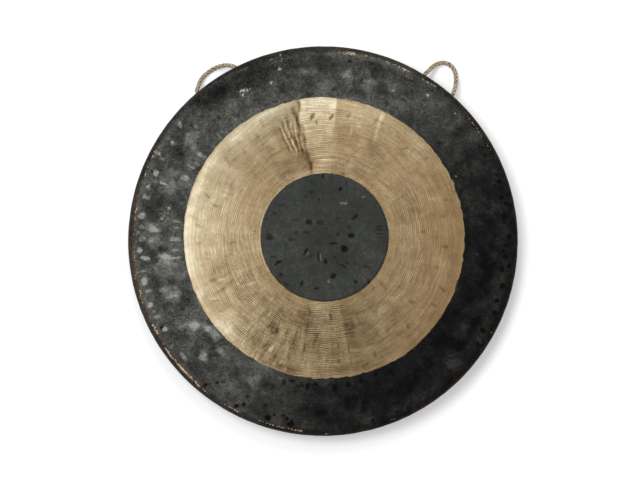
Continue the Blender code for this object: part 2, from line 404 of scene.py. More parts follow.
def make_strand(path, strand, radius, seed, rng, fray):
    """One strand's rings, and what its material reads: how far along and round it is, and how far out, by which
    the material paints shade into the grooves between strands.
    """
    gone = path.gone
    angles = np.linspace(0, 2 * math.pi, STRAND_SIDES, endpoint=False)
    strand_radius = radius * STRAND_SHARE
    off = radius - strand_radius
    sway = SWAY * np.sin(gone / SWAY_LENGTH + seed + strand)
    turn = 2 * math.pi * (gone / LAY + strand / STRANDS) + sway
    radial = path.outwards(turn)
    # The strand's own direction leans with the lay.
    lean = math.atan(2 * math.pi * off / LAY)
    own = np.cross(path.tangents, radial) * math.cos(lean) - path.tangents * math.sin(lean)
    swell = 1 + SWELL * np.sin(gone / SWELL_LENGTH + 2.1 * strand + seed)
    swell = swell + SWELL_RANDOM * rng.standard_normal(len(gone))
    askew = angles[None, :] + gone[:, None] / YARN_LAY
    yarn = YARN_GROOVE + YARN_CREST * np.abs(np.cos(YARNS / 2 * askew))
    size = strand_radius * swell[:, None] * yarn
    if fray:
        taper = np.array(CUT_TAPER)[:, None]
        size[:2] *= taper
        size[-2:] *= taper[::-1]
    rings = circles(path.points + radial * off, radial, own, size, angles)
    out = np.tile(0.5 + 0.5 * np.cos(angles), len(gone)) * np.clip(yarn.ravel(), 0, 1.2)
    around = np.tile(angles, len(gone)) + STRAND_APART * strand
    return rings, np.column_stack([np.repeat(gone, STRAND_SIDES), around, out])


def make_fibre(path, radius, rng, floor):
    """A loose fibre's rings, and what its material reads."""
    at = rng.randint(4, len(path.points) - 12)
    length = rng.randint(*FIBRE_STEPS)
    span = np.arange(at, min(at + length, len(path.points) - 1))
    if rng.rand() < 0.5:
        span = span[::-1]
    start = rng.rand() * 2 * math.pi
    turn = start + np.linspace(0, rng.uniform(-FIBRE_TURN, FIBRE_TURN), len(span))
    lift = radius * FIBRE_ROOT + np.linspace(0, 1, len(span)) ** 2 * rng.uniform(*FIBRE_LIFT)
    centres = path.points[span] + path.outwards(turn, span) * lift[:, None]
    if floor is not None:
        centres[:, 2] = np.maximum(centres[:, 2], floor)
    thick = np.linspace(*FIBRE_RADII, len(span))[:, None]
    rings = circles(centres, path.sides[span], path.ups[span], thick, FIBRE_ANGLES)
    sides = len(FIBRE_ANGLES)
    around = np.tile(FIBRE_ANGLES, len(span))
    return rings, np.column_stack([np.repeat(path.gone[span], sides), around, np.ones(len(span) * sides)])


def laid_rope(name, points, diameter, seed, fibres, floor=None, fray=False):
    """Three strands of yarn laid round a path, with loose fibres, as one object."""
    rng = np.random.RandomState(seed)
    path = Path(points)
    pieces = [make_strand(path, strand, diameter / 2, seed, rng, fray) for strand in range(STRANDS)]
    pieces += [make_fibre(path, diameter / 2, rng, floor) for _ in range(fibres)]
    tubes, notes = zip(*pieces)
    verts, faces = closed_tubes(tubes)
    mesh = bpy.data.meshes.new(name)
    mesh.from_pydata(verts.tolist(), [], faces)
    strand_note = mesh.attributes.new("strand", "FLOAT_VECTOR", "POINT")
    strand_note.data.foreach_set("vector", np.concatenate(notes).astype(np.float32).ravel())
    mesh.shade_smooth()
    return add_object(name, mesh)


def overhand_path():
    """The centreline of an overhand knot pulled tight, in rope diameters, with its two ends along X."""
    t = np.linspace(-2.15, 2.15, 500)
    loose = np.column_stack([t**3 - 3 * t, t**4 - 4 * t**2, 0.18 * (t**5 - 10 * t)])
    first, last = ([[reach, 1.5, loose[k, 2] * 0.3]] for k, reach in ((0, -LOOSE_HALF), (-1, LOOSE_HALF)))
    loose = np.concatenate([first, loose, last])
    path = spread(loose, KNOT_POINTS)
    index = np.arange(KNOT_POINTS)
    apart = np.abs(index[:, None] - index[None, :])
    loose_step = distances(loose)[-1] / (KNOT_POINTS - 1)
    for n in range(KNOT_ROUNDS):
        share = min(1.0, n / (KNOT_ROUNDS * 0.75))
        rest = loose_step + (TIGHT_STEP - loose_step) * share
        reach = TIGHT_HALF + (LOOSE_HALF - TIGHT_HALF) * (1 - share)
        path = pulled(path, rest, reach, apart > max(4, math.ceil(NEIGHBOURS / rest)))
    return path


def pulled(path, rest, reach, other_turns):
    """The path after a round: ends pulled out, bends eased, steps evened and turns pushed apart."""
    path[0] += (np.array([-reach, 0.0, 0.0]) - path[0]) * 0.2
    path[-1] += (np.array([reach, 0.0, 0.0]) - path[-1]) * 0.2
    eased = path.copy()
    eased[1:-1] += 0.22 * (path[:-2] + path[2:] - 2 * path[1:-1])
    path = eased
    for start in (0, 1):
        span = path[start + 1::2] - path[start:-1:2]
        far = np.linalg.norm(span, axis=1)[:, None]
        move = span * (1 - rest / np.maximum(far, 1e-9)) * 0.5
        path[start:-1:2] += move
        path[start + 1::2] -= move
    gap = path[:, None, :] - path[None, :, :]
    far = np.linalg.norm(gap, axis=2)
    push = np.where(other_turns & (far < 1.0), (1.0 - far) / np.maximum(far, 1e-6), 0.0) * 0.25
    return path + (gap * push[:, :, None]).sum(1)


# Materials


class Graph:
    """A material with one Principled shader, and short ways to put nodes in front of it."""

    def __init__(self, name):
        self.material = bpy.data.materials.new(name)
        self.material.use_nodes = True
        self.tree = self.material.node_tree
        self.shader = self.tree.nodes["Principled BSDF"]

    def put(self, socket, value):
        if isinstance(value, bpy.types.NodeSocket):
            self.tree.links.new(value, socket)
        elif isinstance(value, (tuple, list)) and len(value) == 3 and socket.type == "RGBA":
            socket.default_value = (*value, 1.0)
        else:
            socket.default_value = value

    def set(self, **values):
        for name, value in values.items():
            self.put(self.shader.inputs[name.replace("_", " ")], value)

    def node(self, kind, inputs=None, **settings):
        """A new node, with values for some of its inputs, by their number or name."""
        node = self.tree.nodes.new(kind)
        for name, value in settings.items():
            setattr(node, name, value)
        for socket, value in (inputs or {}).items():
            self.put(node.inputs[socket], value)
        return node

    def math(self, operation, *values):
        """The operation on the first two values, then on its result and the next value, and so on."""
        total, *others = values
        for value in others:
            total = self.node("ShaderNodeMath", {0: total, 1: value}, operation=operation).outputs[0]
        return total

    def add(self, *values):
        return self.math("ADD", *values)

    def times(self, *values):
        return self.math("MULTIPLY", *values)

    def attribute(self, name, output="Fac"):
        return self.node("ShaderNodeAttribute", attribute_name=name).outputs[output]

    def place(self):
        return self.node("ShaderNodeTexCoord").outputs["Object"]

    def split(self, vector):
        return self.node("ShaderNodeSeparateXYZ", {0: vector}).outputs

    def join(self, *values):
        return self.node("ShaderNodeCombineXYZ", dict(enumerate(values))).outputs[0]

    def noise(self, vector, scale, detail=3.0, roughness=0.55, distortion=0.0):
        inputs = {"Vector": vector, "Scale": scale, "Detail": detail, "Roughness": roughness,
                  "Distortion": distortion}
        return self.node("ShaderNodeTexNoise", inputs).outputs["Fac"]

    def span(self, value, low, high, to_low=0.0, to_high=1.0, kind="LINEAR"):
        inputs = dict(enumerate((value, low, high, to_low, to_high)))
        return self.node("ShaderNodeMapRange", inputs, interpolation_type=kind).outputs[0]

    def smooth(self, value, low, high, to_low=0.0, to_high=1.0):
        return self.span(value, low, high, to_low, to_high, "SMOOTHSTEP")

    def swing(self, noise, size, middle=0.0):
        """A noise as a change of up to this size to both sides of a middle value."""
        return self.span(noise, 0.3, 0.7, middle - size, middle + size)

    def mix(self, share, a, b, blend="MIX"):
        node = self.node("ShaderNodeMix", {0: share, 6: a, 7: b}, data_type="RGBA", blend_type=blend)
        return node.outputs[2]

    def tint(self, colour, by):
        return self.mix(1.0, colour, by, "MULTIPLY")

    def ramp(self, value, stops):
        node = self.node("ShaderNodeValToRGB", {0: value})
        elements = node.color_ramp.elements
        while len(elements) < len(stops):
            elements.new(0.5)
        for element, (place, colour) in zip(elements, stops):
            element.position = place
            element.color = (*colour, 1.0)
        return node.outputs[0]

    def bump(self, height, strength, distance):
        inputs = {"Strength": strength, "Distance": distance, "Height": height}
        return self.node("ShaderNodeBump", inputs).outputs[0]


# The black skin's tones: coal black, then slate, then chalky grey
PATINA = (
    (0.0, (0.0012, 0.0013, 0.0015)),
    (0.25, (0.0089, 0.0092, 0.0088)),
    (0.5, (0.0385, 0.0390, 0.0352)),
    (0.75, (0.1170, 0.1180, 0.1060)),
    (1.0, (0.2900, 0.2920, 0.2700)),
)
SCRAPED_BRONZE = (
    (0.0, (0.040, 0.026, 0.013)),
    (0.25, (0.125, 0.086, 0.044)),
    (0.5, (0.262, 0.194, 0.107)),
    (0.75, (0.420, 0.335, 0.205)),
    (1.0, (0.770, 0.695, 0.520)),
)
BARE_BRONZE = ((0.32, (0.17, 0.10, 0.055)), (0.50, (0.38, 0.275, 0.17)), (0.66, (0.68, 0.565, 0.40)))
GROUND_BRONZE = ((0.0, (0.02, 0.016, 0.012)), (0.4, (0.12, 0.075, 0.04)), (1.0, (0.45, 0.31, 0.17)))
JUTE = (
    (0.0, (0.026, 0.018, 0.009)),
    (0.35, (0.140, 0.104, 0.055)),
    (0.65, (0.400, 0.325, 0.208)),
    (1.0, (0.710, 0.615, 0.445)),
)
WARM_SKIN = (0.085, 0.047, 0.027)
WARM_BRONZE = (0.33, 0.19, 0.08)
COOL_TINT = (0.93, 1.03, 1.15)
VERDIGRIS_TINT = (0.87, 1.07, 0.99)
GLINT_SPECK = (0.55, 0.54, 0.50)
STEP_SHADE_BROWN = (0.020, 0.014, 0.008)
BROWN_OXIDE = ((0.030, 0.018, 0.011), (0.110, 0.068, 0.038))
RUBBED_BACK = (0.200, 0.150, 0.095)
SKIN_METAL = 0.30
SKIN_SPECULAR = 0.07
SCALLOP = 0.0014  # how far the ring's edges waver where they are most ragged
EDGE_GRAIN = 0.0004  # and how far they do everywhere
EDGE_BEYOND, EDGE_WITHIN = 0.0003, 0.0004  # how far the ring's edges blur outside and inside it
STEP_SHADE_BEYOND, STEP_SHADE_WITHIN = 0.0004, 0.0005  # the same for the painted shade at the foot of its inner step
SCRAPER_WANDER = 0.0028
# Noises, as scale, detail, roughness and distortion: those of the black skin
GRIT = (330.0, 4.0, 0.72)
BLOTS = (125.0, 4.0, 0.65, 0.5)
CLOUDS = (46.0, 4.0, 0.52, 0.7)
PITS = (270.0, 3.0, 0.75)
VERDIGRIS = (34.0, 3.0, 0.6)
# and this one for the band's painted glints
GLINT_SPECKS = (410.0, 2.0, 0.8)
# those of the scraped ring and its edges
SCALLOPS = (80.0, 1.5)
FINE_EDGE = (330.0, 1.0)
SCRAPER_DRIFT = (17.0, 2.0, 0.5)
SCRAPED_SPECKS = (300.0, 3.0, 0.7)
SCRAPED_CLOUDS = (34.0, 4.0, 0.62, 0.5)
# and those of the back and of its ground edge
BACK_CLOUDS = (14.0, 8.0, 0.68, 0.4)
BACK_BLOTS = (90.0, 5.0, 0.66, 0.5)
BACK_GRIT = (420.0, 4.0, 0.72)
OXIDE_PATCHES = (12.0, 8.0, 0.72)
FILE_MARKS = (500.0, 3.0, 0.6)
EDGE_CLOUDS = (30.0, 3.0)
# Noises that run round the gong, as scale outwards, scale along its circles, detail and roughness
WORN_FLECKS = (520.0, 70.0, 3.0, 0.72)
WORN_GRAIN = (500.0, 90.0, 2.0, 0.6)
STREAKS = (400.0, 5.0, 3.0, 0.65)
WIDE_STREAKS = (110.0, 3.0, 2.0, 0.5)
GROOVE_PATCHES = (60.0, 9.0, 2.0, 0.6)
RUBBED_RINGS = (260.0, 4.0, 3.0, 0.6)


def round_axis(g, place):
    """The direction from the gong's axis to a point, as x and y, for noise along circles or radii."""
    x, y, _ = g.split(place)
    direction = g.node("ShaderNodeVectorMath", {0: g.join(x, y, 0.0)}, operation="NORMALIZE")
    return tuple(g.split(direction.outputs[0]))[:2]


def round_noise(g, rho, around, outwards, along, detail, roughness):
    """Noise of these scales outwards and along the gong's circles."""
    place = g.join(g.times(rho, outwards), *(g.times(part, along) for part in around))
    return g.noise(place, 1.0, detail, roughness)


def ring_share(g, rho, place):
    """How far a point is inside the scraped ring, and how near the painted shade at the foot of its inner step.
    Both edges waver.
    """
    scallop = g.swing(g.noise(place, *SCALLOPS), SCALLOP)
    fine = g.swing(g.noise(place, *FINE_EDGE), EDGE_GRAIN)
    uneven = g.add(rho, g.add(g.times(scallop, g.attribute("ragged")), fine))
    inner = g.smooth(uneven, CENTRE_RADIUS - EDGE_BEYOND, CENTRE_RADIUS + EDGE_WITHIN)
    outer = g.smooth(uneven, RING_RADIUS - EDGE_WITHIN, RING_RADIUS + EDGE_BEYOND, 1.0, 0.0)
    step_shade = g.smooth(uneven, CENTRE_RADIUS - STEP_SHADE_BEYOND, CENTRE_RADIUS + STEP_SHADE_WITHIN, 1.0, 0.0)
    return g.times(inner, outer), step_shade


def worn(g, colour, rho, around):
    """The bronze that shows where the skin has rubbed off, and how much of it."""
    flecks = round_noise(g, rho, around, *WORN_FLECKS)
    grain = round_noise(g, rho, around, *WORN_GRAIN)
    limit = g.span(g.attribute("wear"), 0.0, 1.0, 0.80, 0.29)
    share = g.smooth(g.math("SUBTRACT", flecks, limit), 0.0, 0.07)
    return g.mix(share, colour, g.ramp(grain, BARE_BRONZE)), share


def skin(g, place, rho, around):
    """Colour, roughness and bump height of the patinated bronze, and how bare it is."""
    grit = g.noise(place, *GRIT)
    blot = g.noise(place, *BLOTS)
    cloud = g.noise(place, *CLOUDS)
    pits = g.smooth(g.noise(place, *PITS), 0.55, 0.66)
    lively = g.attribute("lively")
    tone = g.add(
        g.attribute("tone"),
        g.times(g.attribute("mark"), g.swing(grit, 0.30, 0.95)),
        g.times(g.swing(cloud, 0.09), lively),
        g.times(g.swing(blot, 0.07), lively),
        g.times(g.swing(grit, 0.145), g.add(g.times(lively, 0.7), 0.3)),
        g.times(pits, lively, -0.10),
    )
    colour = g.mix(g.times(g.attribute("warm"), g.span(blot, 0.35, 0.62)), g.ramp(tone, PATINA), WARM_SKIN)
    verdigris = g.smooth(g.noise(place, *VERDIGRIS), 0.42, 0.62)
    in_middle = g.smooth(rho, CENTRE_RADIUS, CENTRE_RADIUS + 0.001, 0.55, 0.0)
    colour = g.mix(g.times(verdigris, in_middle), colour, g.tint(colour, VERDIGRIS_TINT))
    # White specks where the speck value is high: painted glints
    speck = g.smooth(g.noise(place, *GLINT_SPECKS), 0.60, 0.68)
    colour = g.mix(g.times(speck, g.attribute("speck")), colour, GLINT_SPECK)
    colour, bare = worn(g, colour, rho, around)
    rough = g.add(g.swing(cloud, 0.08, 0.54), g.swing(grit, 0.06), g.times(bare, -0.15))
    return colour, rough, g.add(g.times(blot, 0.5), g.times(grit, 0.35)), bare


def make_skin_material():
    g = Graph("black_patina")
    place = g.place()
    colour, rough, height, bare = skin(g, place, g.attribute("rho"), round_axis(g, place))
    g.set(Base_Color=colour, Roughness=rough, Metallic=g.span(bare, 0.0, 1.0, SKIN_METAL, 0.95),
          Normal=g.bump(height, 0.4, 0.0008), Specular_IOR_Level=SKIN_SPECULAR)
    return g.material


def scraped(g, place, rho, around):
    """Colour, roughness and bump height of the bronze in the ring."""
    # Scratches round the gong: noise that hardly changes along a circle. The scraper wandered a little.
    wandered = g.add(rho, g.swing(g.noise(place, *SCRAPER_DRIFT), SCRAPER_WANDER))
    streak = round_noise(g, wandered, around, *STREAKS)
    wide = round_noise(g, wandered, around, *WIDE_STREAKS)
    wave = g.math("SINE", g.times(wandered, 2 * math.pi / FINE_PITCH), 0.0)
    patch = round_noise(g, rho, around, *GROOVE_PATCHES)
    groove = g.times(wave, g.times(g.smooth(patch, 0.40, 0.60), g.attribute("groove")))
    # Crinkles across the scratches
    across = g.join(*(g.times(part, 40.0) for part in around), g.times(rho, 60.0))
    folds = g.noise(across, 1.0, 3.0, 0.62, 0.9)
    speck = g.noise(place, *SCRAPED_SPECKS)
    lively, crinkle = g.attribute("lively"), g.attribute("crinkle")
    tone = g.add(
        g.attribute("tone"),
        g.times(g.attribute("mark"), g.swing(speck, 0.30, 1.0)),
        g.times(g.span(streak, 0.25, 0.75, -0.135, 0.135), lively),
        g.times(g.swing(wide, 0.04), lively),
        g.times(groove, 0.155),
        g.times(g.swing(folds, 0.34), crinkle),
        g.swing(g.noise(place, *SCRAPED_CLOUDS), 0.09),
        g.times(g.swing(speck, 0.07), lively),
    )
    bronze = g.mix(g.times(g.attribute("warm"), 0.5), g.ramp(tone, SCRAPED_BRONZE), WARM_BRONZE)
    bronze = g.mix(g.attribute("cool"), bronze, g.tint(bronze, COOL_TINT))
    height = g.add(g.times(streak, 0.6), g.add(g.times(groove, 0.35), g.times(folds, crinkle)))
    return bronze, g.swing(streak, 0.05, 0.33), height


def make_scraped_material():
    """The ring's material. It draws the ring's uneven edges, and shows the dark skin beyond them."""
    g = Graph("scraped_bronze")
    place = g.place()
    rho = g.attribute("rho")
    around = round_axis(g, place)
    inside, step_shade = ring_share(g, rho, place)
    outside = g.math("SUBTRACT", 1.0, inside)
    bronze, rough, height = scraped(g, place, rho, around)
    # A dark brown line just inside the ring's inner edge: painted shade at the foot of the step
    bronze = g.mix(g.times(step_shade, 0.8), bronze, STEP_SHADE_BROWN)
    dark, dark_rough, dark_height, bare = skin(g, place, rho, around)
    rough = g.add(g.times(inside, rough), g.times(outside, dark_rough))
    height = g.add(g.times(height, inside), g.times(outside, dark_height, 0.8))
    metal = g.math("MAXIMUM", g.span(inside, 0.0, 1.0, SKIN_METAL, 0.85), g.times(bare, 0.9))
    tangent = g.node("ShaderNodeTangent", direction_type="RADIAL", axis="Z").outputs[0]
    g.set(Base_Color=g.mix(inside, dark, bronze), Roughness=rough, Metallic=metal, Tangent=tangent,
          Normal=g.bump(height, 0.5, 0.0004), Specular_IOR_Level=SKIN_SPECULAR, Anisotropic=0.5)
    return g.material


def make_back_material():
    g = Graph("back_patina")
    place = g.place()
    cloud = g.noise(place, *BACK_CLOUDS)
    blot = g.noise(place, *BACK_BLOTS)
    grit = g.noise(place, *BACK_GRIT)
    tone = g.add(g.add(g.swing(cloud, 0.19, 0.33), g.swing(blot, 0.12)),
                 g.add(g.swing(grit, 0.12), g.attribute("mark")))
    # Brown oxide in broken patches, and thin rubbed rings that the hammering left
    brown = g.smooth(g.add(g.noise(place, *OXIDE_PATCHES), g.swing(grit, 0.04)), 0.50, 0.62)
    colour = g.mix(g.times(brown, 0.55), g.ramp(tone, PATINA), g.mix(grit, *BROWN_OXIDE))
    turned = round_noise(g, g.attribute("rho"), round_axis(g, place), *RUBBED_RINGS)
    rubbed = g.times(g.smooth(turned, 0.60, 0.72), g.smooth(blot, 0.45, 0.60))
    g.set(Base_Color=g.mix(g.times(rubbed, 0.45), colour, RUBBED_BACK), Roughness=g.swing(blot, 0.09, 0.57),
          Metallic=0.45, Normal=g.bump(g.add(g.times(blot, 0.6), g.times(grit, 0.25)), 0.4, 0.0006),
          Specular_IOR_Level=0.3)
    return g.material


def make_edge_material():
    g = Graph("ground_edge")
    place = g.place()
    file_marks = g.noise(place, *FILE_MARKS)
    tone = g.add(g.swing(file_marks, 0.15), g.span(g.noise(place, *EDGE_CLOUDS), 0.35, 0.65, 0.2, 0.75))
    g.set(Base_Color=g.ramp(tone, GROUND_BRONZE), Roughness=g.swing(file_marks, 0.10, 0.45), Metallic=0.9,
          Normal=g.bump(file_marks, 0.3, 0.0003))
    return g.material


def make_jute_material():
    g = Graph("jute_fibre")
    along, around, depth = g.split(g.attribute("strand", "Vector"))
    # Yarns run askew round each strand.
    askew = g.add(around, g.times(along, 385.0))
    fibre = g.noise(g.join(g.times(along, 260.0), g.times(askew, 7.0), 0.0), 1.0, 3.0, 0.7)
    coarse = g.noise(g.join(g.times(along, 90.0), g.times(askew, 1.4), 3.0), 1.0, 3.0, 0.6)
    patch = g.noise(g.place(), 120.0, 3.0)
    # Darker towards the grooves between the strands: painted shade
    tone = g.add(g.swing(fibre, 0.16), g.swing(coarse, 0.12), g.span(depth, 0.25, 1.0, 0.02, 0.73),
                 g.swing(patch, 0.08))
    g.set(Base_Color=g.ramp(tone, JUTE), Roughness=g.swing(fibre, 0.085, 0.865),
          Normal=g.bump(g.add(fibre, g.times(coarse, 0.6)), 0.7, 0.0004), Specular_IOR_Level=0.25,
          Sheen_Weight=0.25, Sheen_Roughness=0.5)
    return g.material


# The gong's circles


def smoothstep(value, low, high):
    t = np.clip((value - low) / (high - low), 0.0, 1.0)
    return t * t * (3 - 2 * t)


def field(x, y, size, seed):
    """Smooth noise from -1 to 1 over a plane, with features about as wide as the size."""
    grid = np.random.RandomState(seed).rand(64, 64) * 2 - 1
    u, v = x / size + 640.3, y / size + 640.7
    i, j = np.floor(u).astype(int), np.floor(v).astype(int)
    fu, fv = smoothstep(u - i, 0.0, 1.0), smoothstep(v - j, 0.0, 1.0)
    a, b = grid[i % 64, j % 64], grid[(i + 1) % 64, j % 64]
    c, d = grid[i % 64, (j + 1) % 64], grid[(i + 1) % 64, (j + 1) % 64]
    return (a * (1 - fu) + b * fu) * (1 - fv) + (c * (1 - fu) + d * fu) * fv


def clouds(x, y, size, seed, octaves=4):
    """The same with finer features added, each half as wide as the last and a little fainter."""
    total, weight = 0.0, 1.0
    for k in range(octaves):
        total = total + weight * field(x + 0.013 * k, y - 0.017 * k, size / 2**k, seed + k)
        weight *= 0.55
    return total / 1.6


def turned_by(clock, to):
    """The angle from one clock angle to another, between -180 and 180."""
    return (clock - to + 180.0) % 360.0 - 180.0


def blob(clock, rho, at, radius, wide, tall):
    """1 at a clock angle and radius, falling to 0 over this many degrees and metres."""
    return np.exp(-((turned_by(clock, at) / wide) ** 2 + ((rho - radius) / tall) ** 2))


def patches(clock, rho, rows):
    """Blobs added up, from rows of clock angle, radius (mm), half width (degrees), half height (mm), size."""
    return sum(size * blob(clock, rho, at, radius / 1000, wide, tall / 1000)
               for at, radius, wide, tall, size in rows)


def offset(rho):
    """How far the centre of the circle of this radius is from the gong's own."""
    stops = (CENTRE_RADIUS, RING_RADIUS, ROUND_FROM)
    ends = zip(CENTRE_OFFSET, RING_OFFSET)
    return tuple(np.interp(rho, stops, (centre, ring, 0.0)) for centre, ring in ends)


# How far the ring's scraped outer edge runs past its circle, read from the photograph: clock angle, half
# width (degrees) and distance (mm)
RING_EDGE = (
    (-130, 45, -0.7), (-75, 14, 0.6), (-45, 22, 1.5), (-3, 8, 1.2), (38, 26, -1.0), (90, 16, -0.5),
    (145, 9, 1.4), (175, 14, -0.5),
)
EDGE_REACH = 0.010  # how far in and out from the edge the circles bend with it


def edge_run(angle, rho):
    """The same in metres at an angle round the gong's own top, fading away from the edge."""
    clock = np.degrees(angle) + CAMERA_TURN
    run = sum(far / 1000 * np.exp(-(turned_by(clock, at) / wide) ** 2) for at, wide, far in RING_EDGE)
    return run * np.exp(-((rho - RING_RADIUS) / EDGE_REACH) ** 2)


def uneven_radius(x, y):
    """The radius of the hand-scraped circle that goes through a point."""
    rho = np.hypot(x, y)
    for _ in range(12):
        ox, oy = offset(rho)
        rho = np.hypot(x - ox, y - oy) - edge_run(np.arctan2(x - ox, y - oy), rho)
    return rho


def on_circle(radius, angle):
    """A point of a circle about the gong's own centre, at an angle clockwise from its top."""
    return radius * np.sin(angle), radius * np.cos(angle)


def place_on_face(clock, rho):
    """A point at a clock angle as the picture shows it, on the scraped circle of this radius."""
    x, y = on_circle(rho, math.radians(clock - CAMERA_TURN))
    ox, oy = offset(rho)
    return float(ox + x), float(oy + y)


def place_by_rim(clock, radius):
    """The same for the circles round the gong's own centre."""
    return on_circle(radius, math.radians(clock - CAMERA_TURN))


# The marks on the face

# Marks on the dark band, read from the photograph and grouped by their change of tone: clock angle,
# radius, half length outwards and half width round the gong (mm), and where it leans, by how many degrees
# The light marks, most of them on the left, and the dark ones, most of them on the right, are hammered dimples
# partly painted with the sheen and the shade that the lamp from the upper left gives them
BAND_MARKS_AND_SHADING = {
    0.38: ((-119, 277, 5, 4, 15), (-110.4, 282, 4.5, 4.5), (-102.7, 281, 5, 7, 20), (-95.5, 273, 8.5, 4, 12),
           (-92.8, 282, 4.5, 4.5), (-81.9, 280, 6.5, 5, -30), (-67.7, 277, 6, 5, 20), (-56.9, 276, 3.5, 3)),
    0.30: ((-129.4, 278, 4, 8.5), (-75.8, 282, 3.5, 4.5), (-76, 276, 3.5, 4), (-72.8, 281, 4, 3.5),
           (-62, 284, 3.5, 3), (-50.8, 283, 6, 3.5, 30)),
    0.19: ((-124.6, 283, 3.5, 2.5), (-114.5, 280, 7, 3, 5), (-112.7, 282, 4.5, 2.5), (-105.9, 278, 5.5, 3.5),
           (-99.4, 278, 6.5, 3, -5), (-89.2, 278, 6.5, 4), (-87.5, 284, 4, 4), (-85.5, 279, 4.5, 3.5),
           (-63, 277, 5, 3), (-56.3, 284, 4.5, 3, -20)),
    -0.22: ((35.9, 286, 2.5, 2.5), (61.9, 282, 3.5, 3), (93.2, 276, 2.5, 2.5), (153, 287, 2.5, 2.5),
            (156.5, 286, 2.5, 2.5), (174.9, 285, 2.5, 2.5), (193, 275, 3, 2), (206, 265, 3, 2),
            (192.3, 219, 3, 4.5), (195.5, 224, 5, 3.5), (8.5, 279, 3, 3)),
    -0.34: ((71.2, 286, 4, 3), (76.3, 282, 4, 3), (78.5, 287, 3.5, 3), (83.9, 279, 3.5, 3),
            (91.2, 282, 4, 3.5), (-67.9, 283, 2, 2.5), (-41.5, 288, 2.5, 2), (170, 223, 4.5, 3.5),
            (158.3, 220, 3.5, 3), (164.5, 221, 4, 3), (152.3, 227, 6.5, 3), (164.5, 286, 3, 2.5),
            (189.9, 278, 2.5, 2), (195.7, 277, 3, 2)),
    -0.42: ((82.3, 281, 4.5, 4.5), (88.6, 286, 3.5, 4), (95, 281, 4, 3.5), (97.7, 288, 3.5, 4),
            (123.8, 286, 3.5, 3), (183, 219, 2.5, 4.5), (186, 223, 6, 3), (175.5, 225, 6, 3.5),
            (191.5, 278, 3, 2), (205.8, 278, 3, 2)),
    -0.55: ((98.8, 278, 4, 3.5), (103.8, 284, 4.5, 4), (108.8, 282, 3.5, 3.5), (112.5, 286, 4, 3.5),
            (119.2, 282, 4.5, 3.5)),
    -0.60: ((-140.8, 286, 3, 2.5), (-143.3, 271, 2.5, 2), (-118.3, 281, 2, 2), (190.1, 285, 4, 5),
            (197.3, 284, 4, 4.5), (207.8, 286, 3, 3.5)),
}
# Light flecks on the band, in the same terms: the brightest ones are painted glints, the others golden flecks
FLECKS_AND_GLINTS = {
    0.80: ((-28.8, 262, 2, 2), (-27.8, 261, 2, 2.4), (-26.6, 259, 2, 1.8), (-28.8, 255, 2, 1.8),
           (-13.9, 272, 2, 1.8), (35.8, 275, 1.8, 1.8)),
    0.50: ((-15.8, 290, 2, 1.6), (-12.8, 293, 1.8, 1.8), (-17.8, 256, 1.8, 1.6), (46, 282, 1.8, 1.8),
           (64.2, 226, 1.8, 1.8), (95, 238, 1.8, 1.8), (-82, 249, 1.8, 1.8), (-78, 241, 1.8, 1.8),
           (-70.2, 260, 7, 1.6)),
}
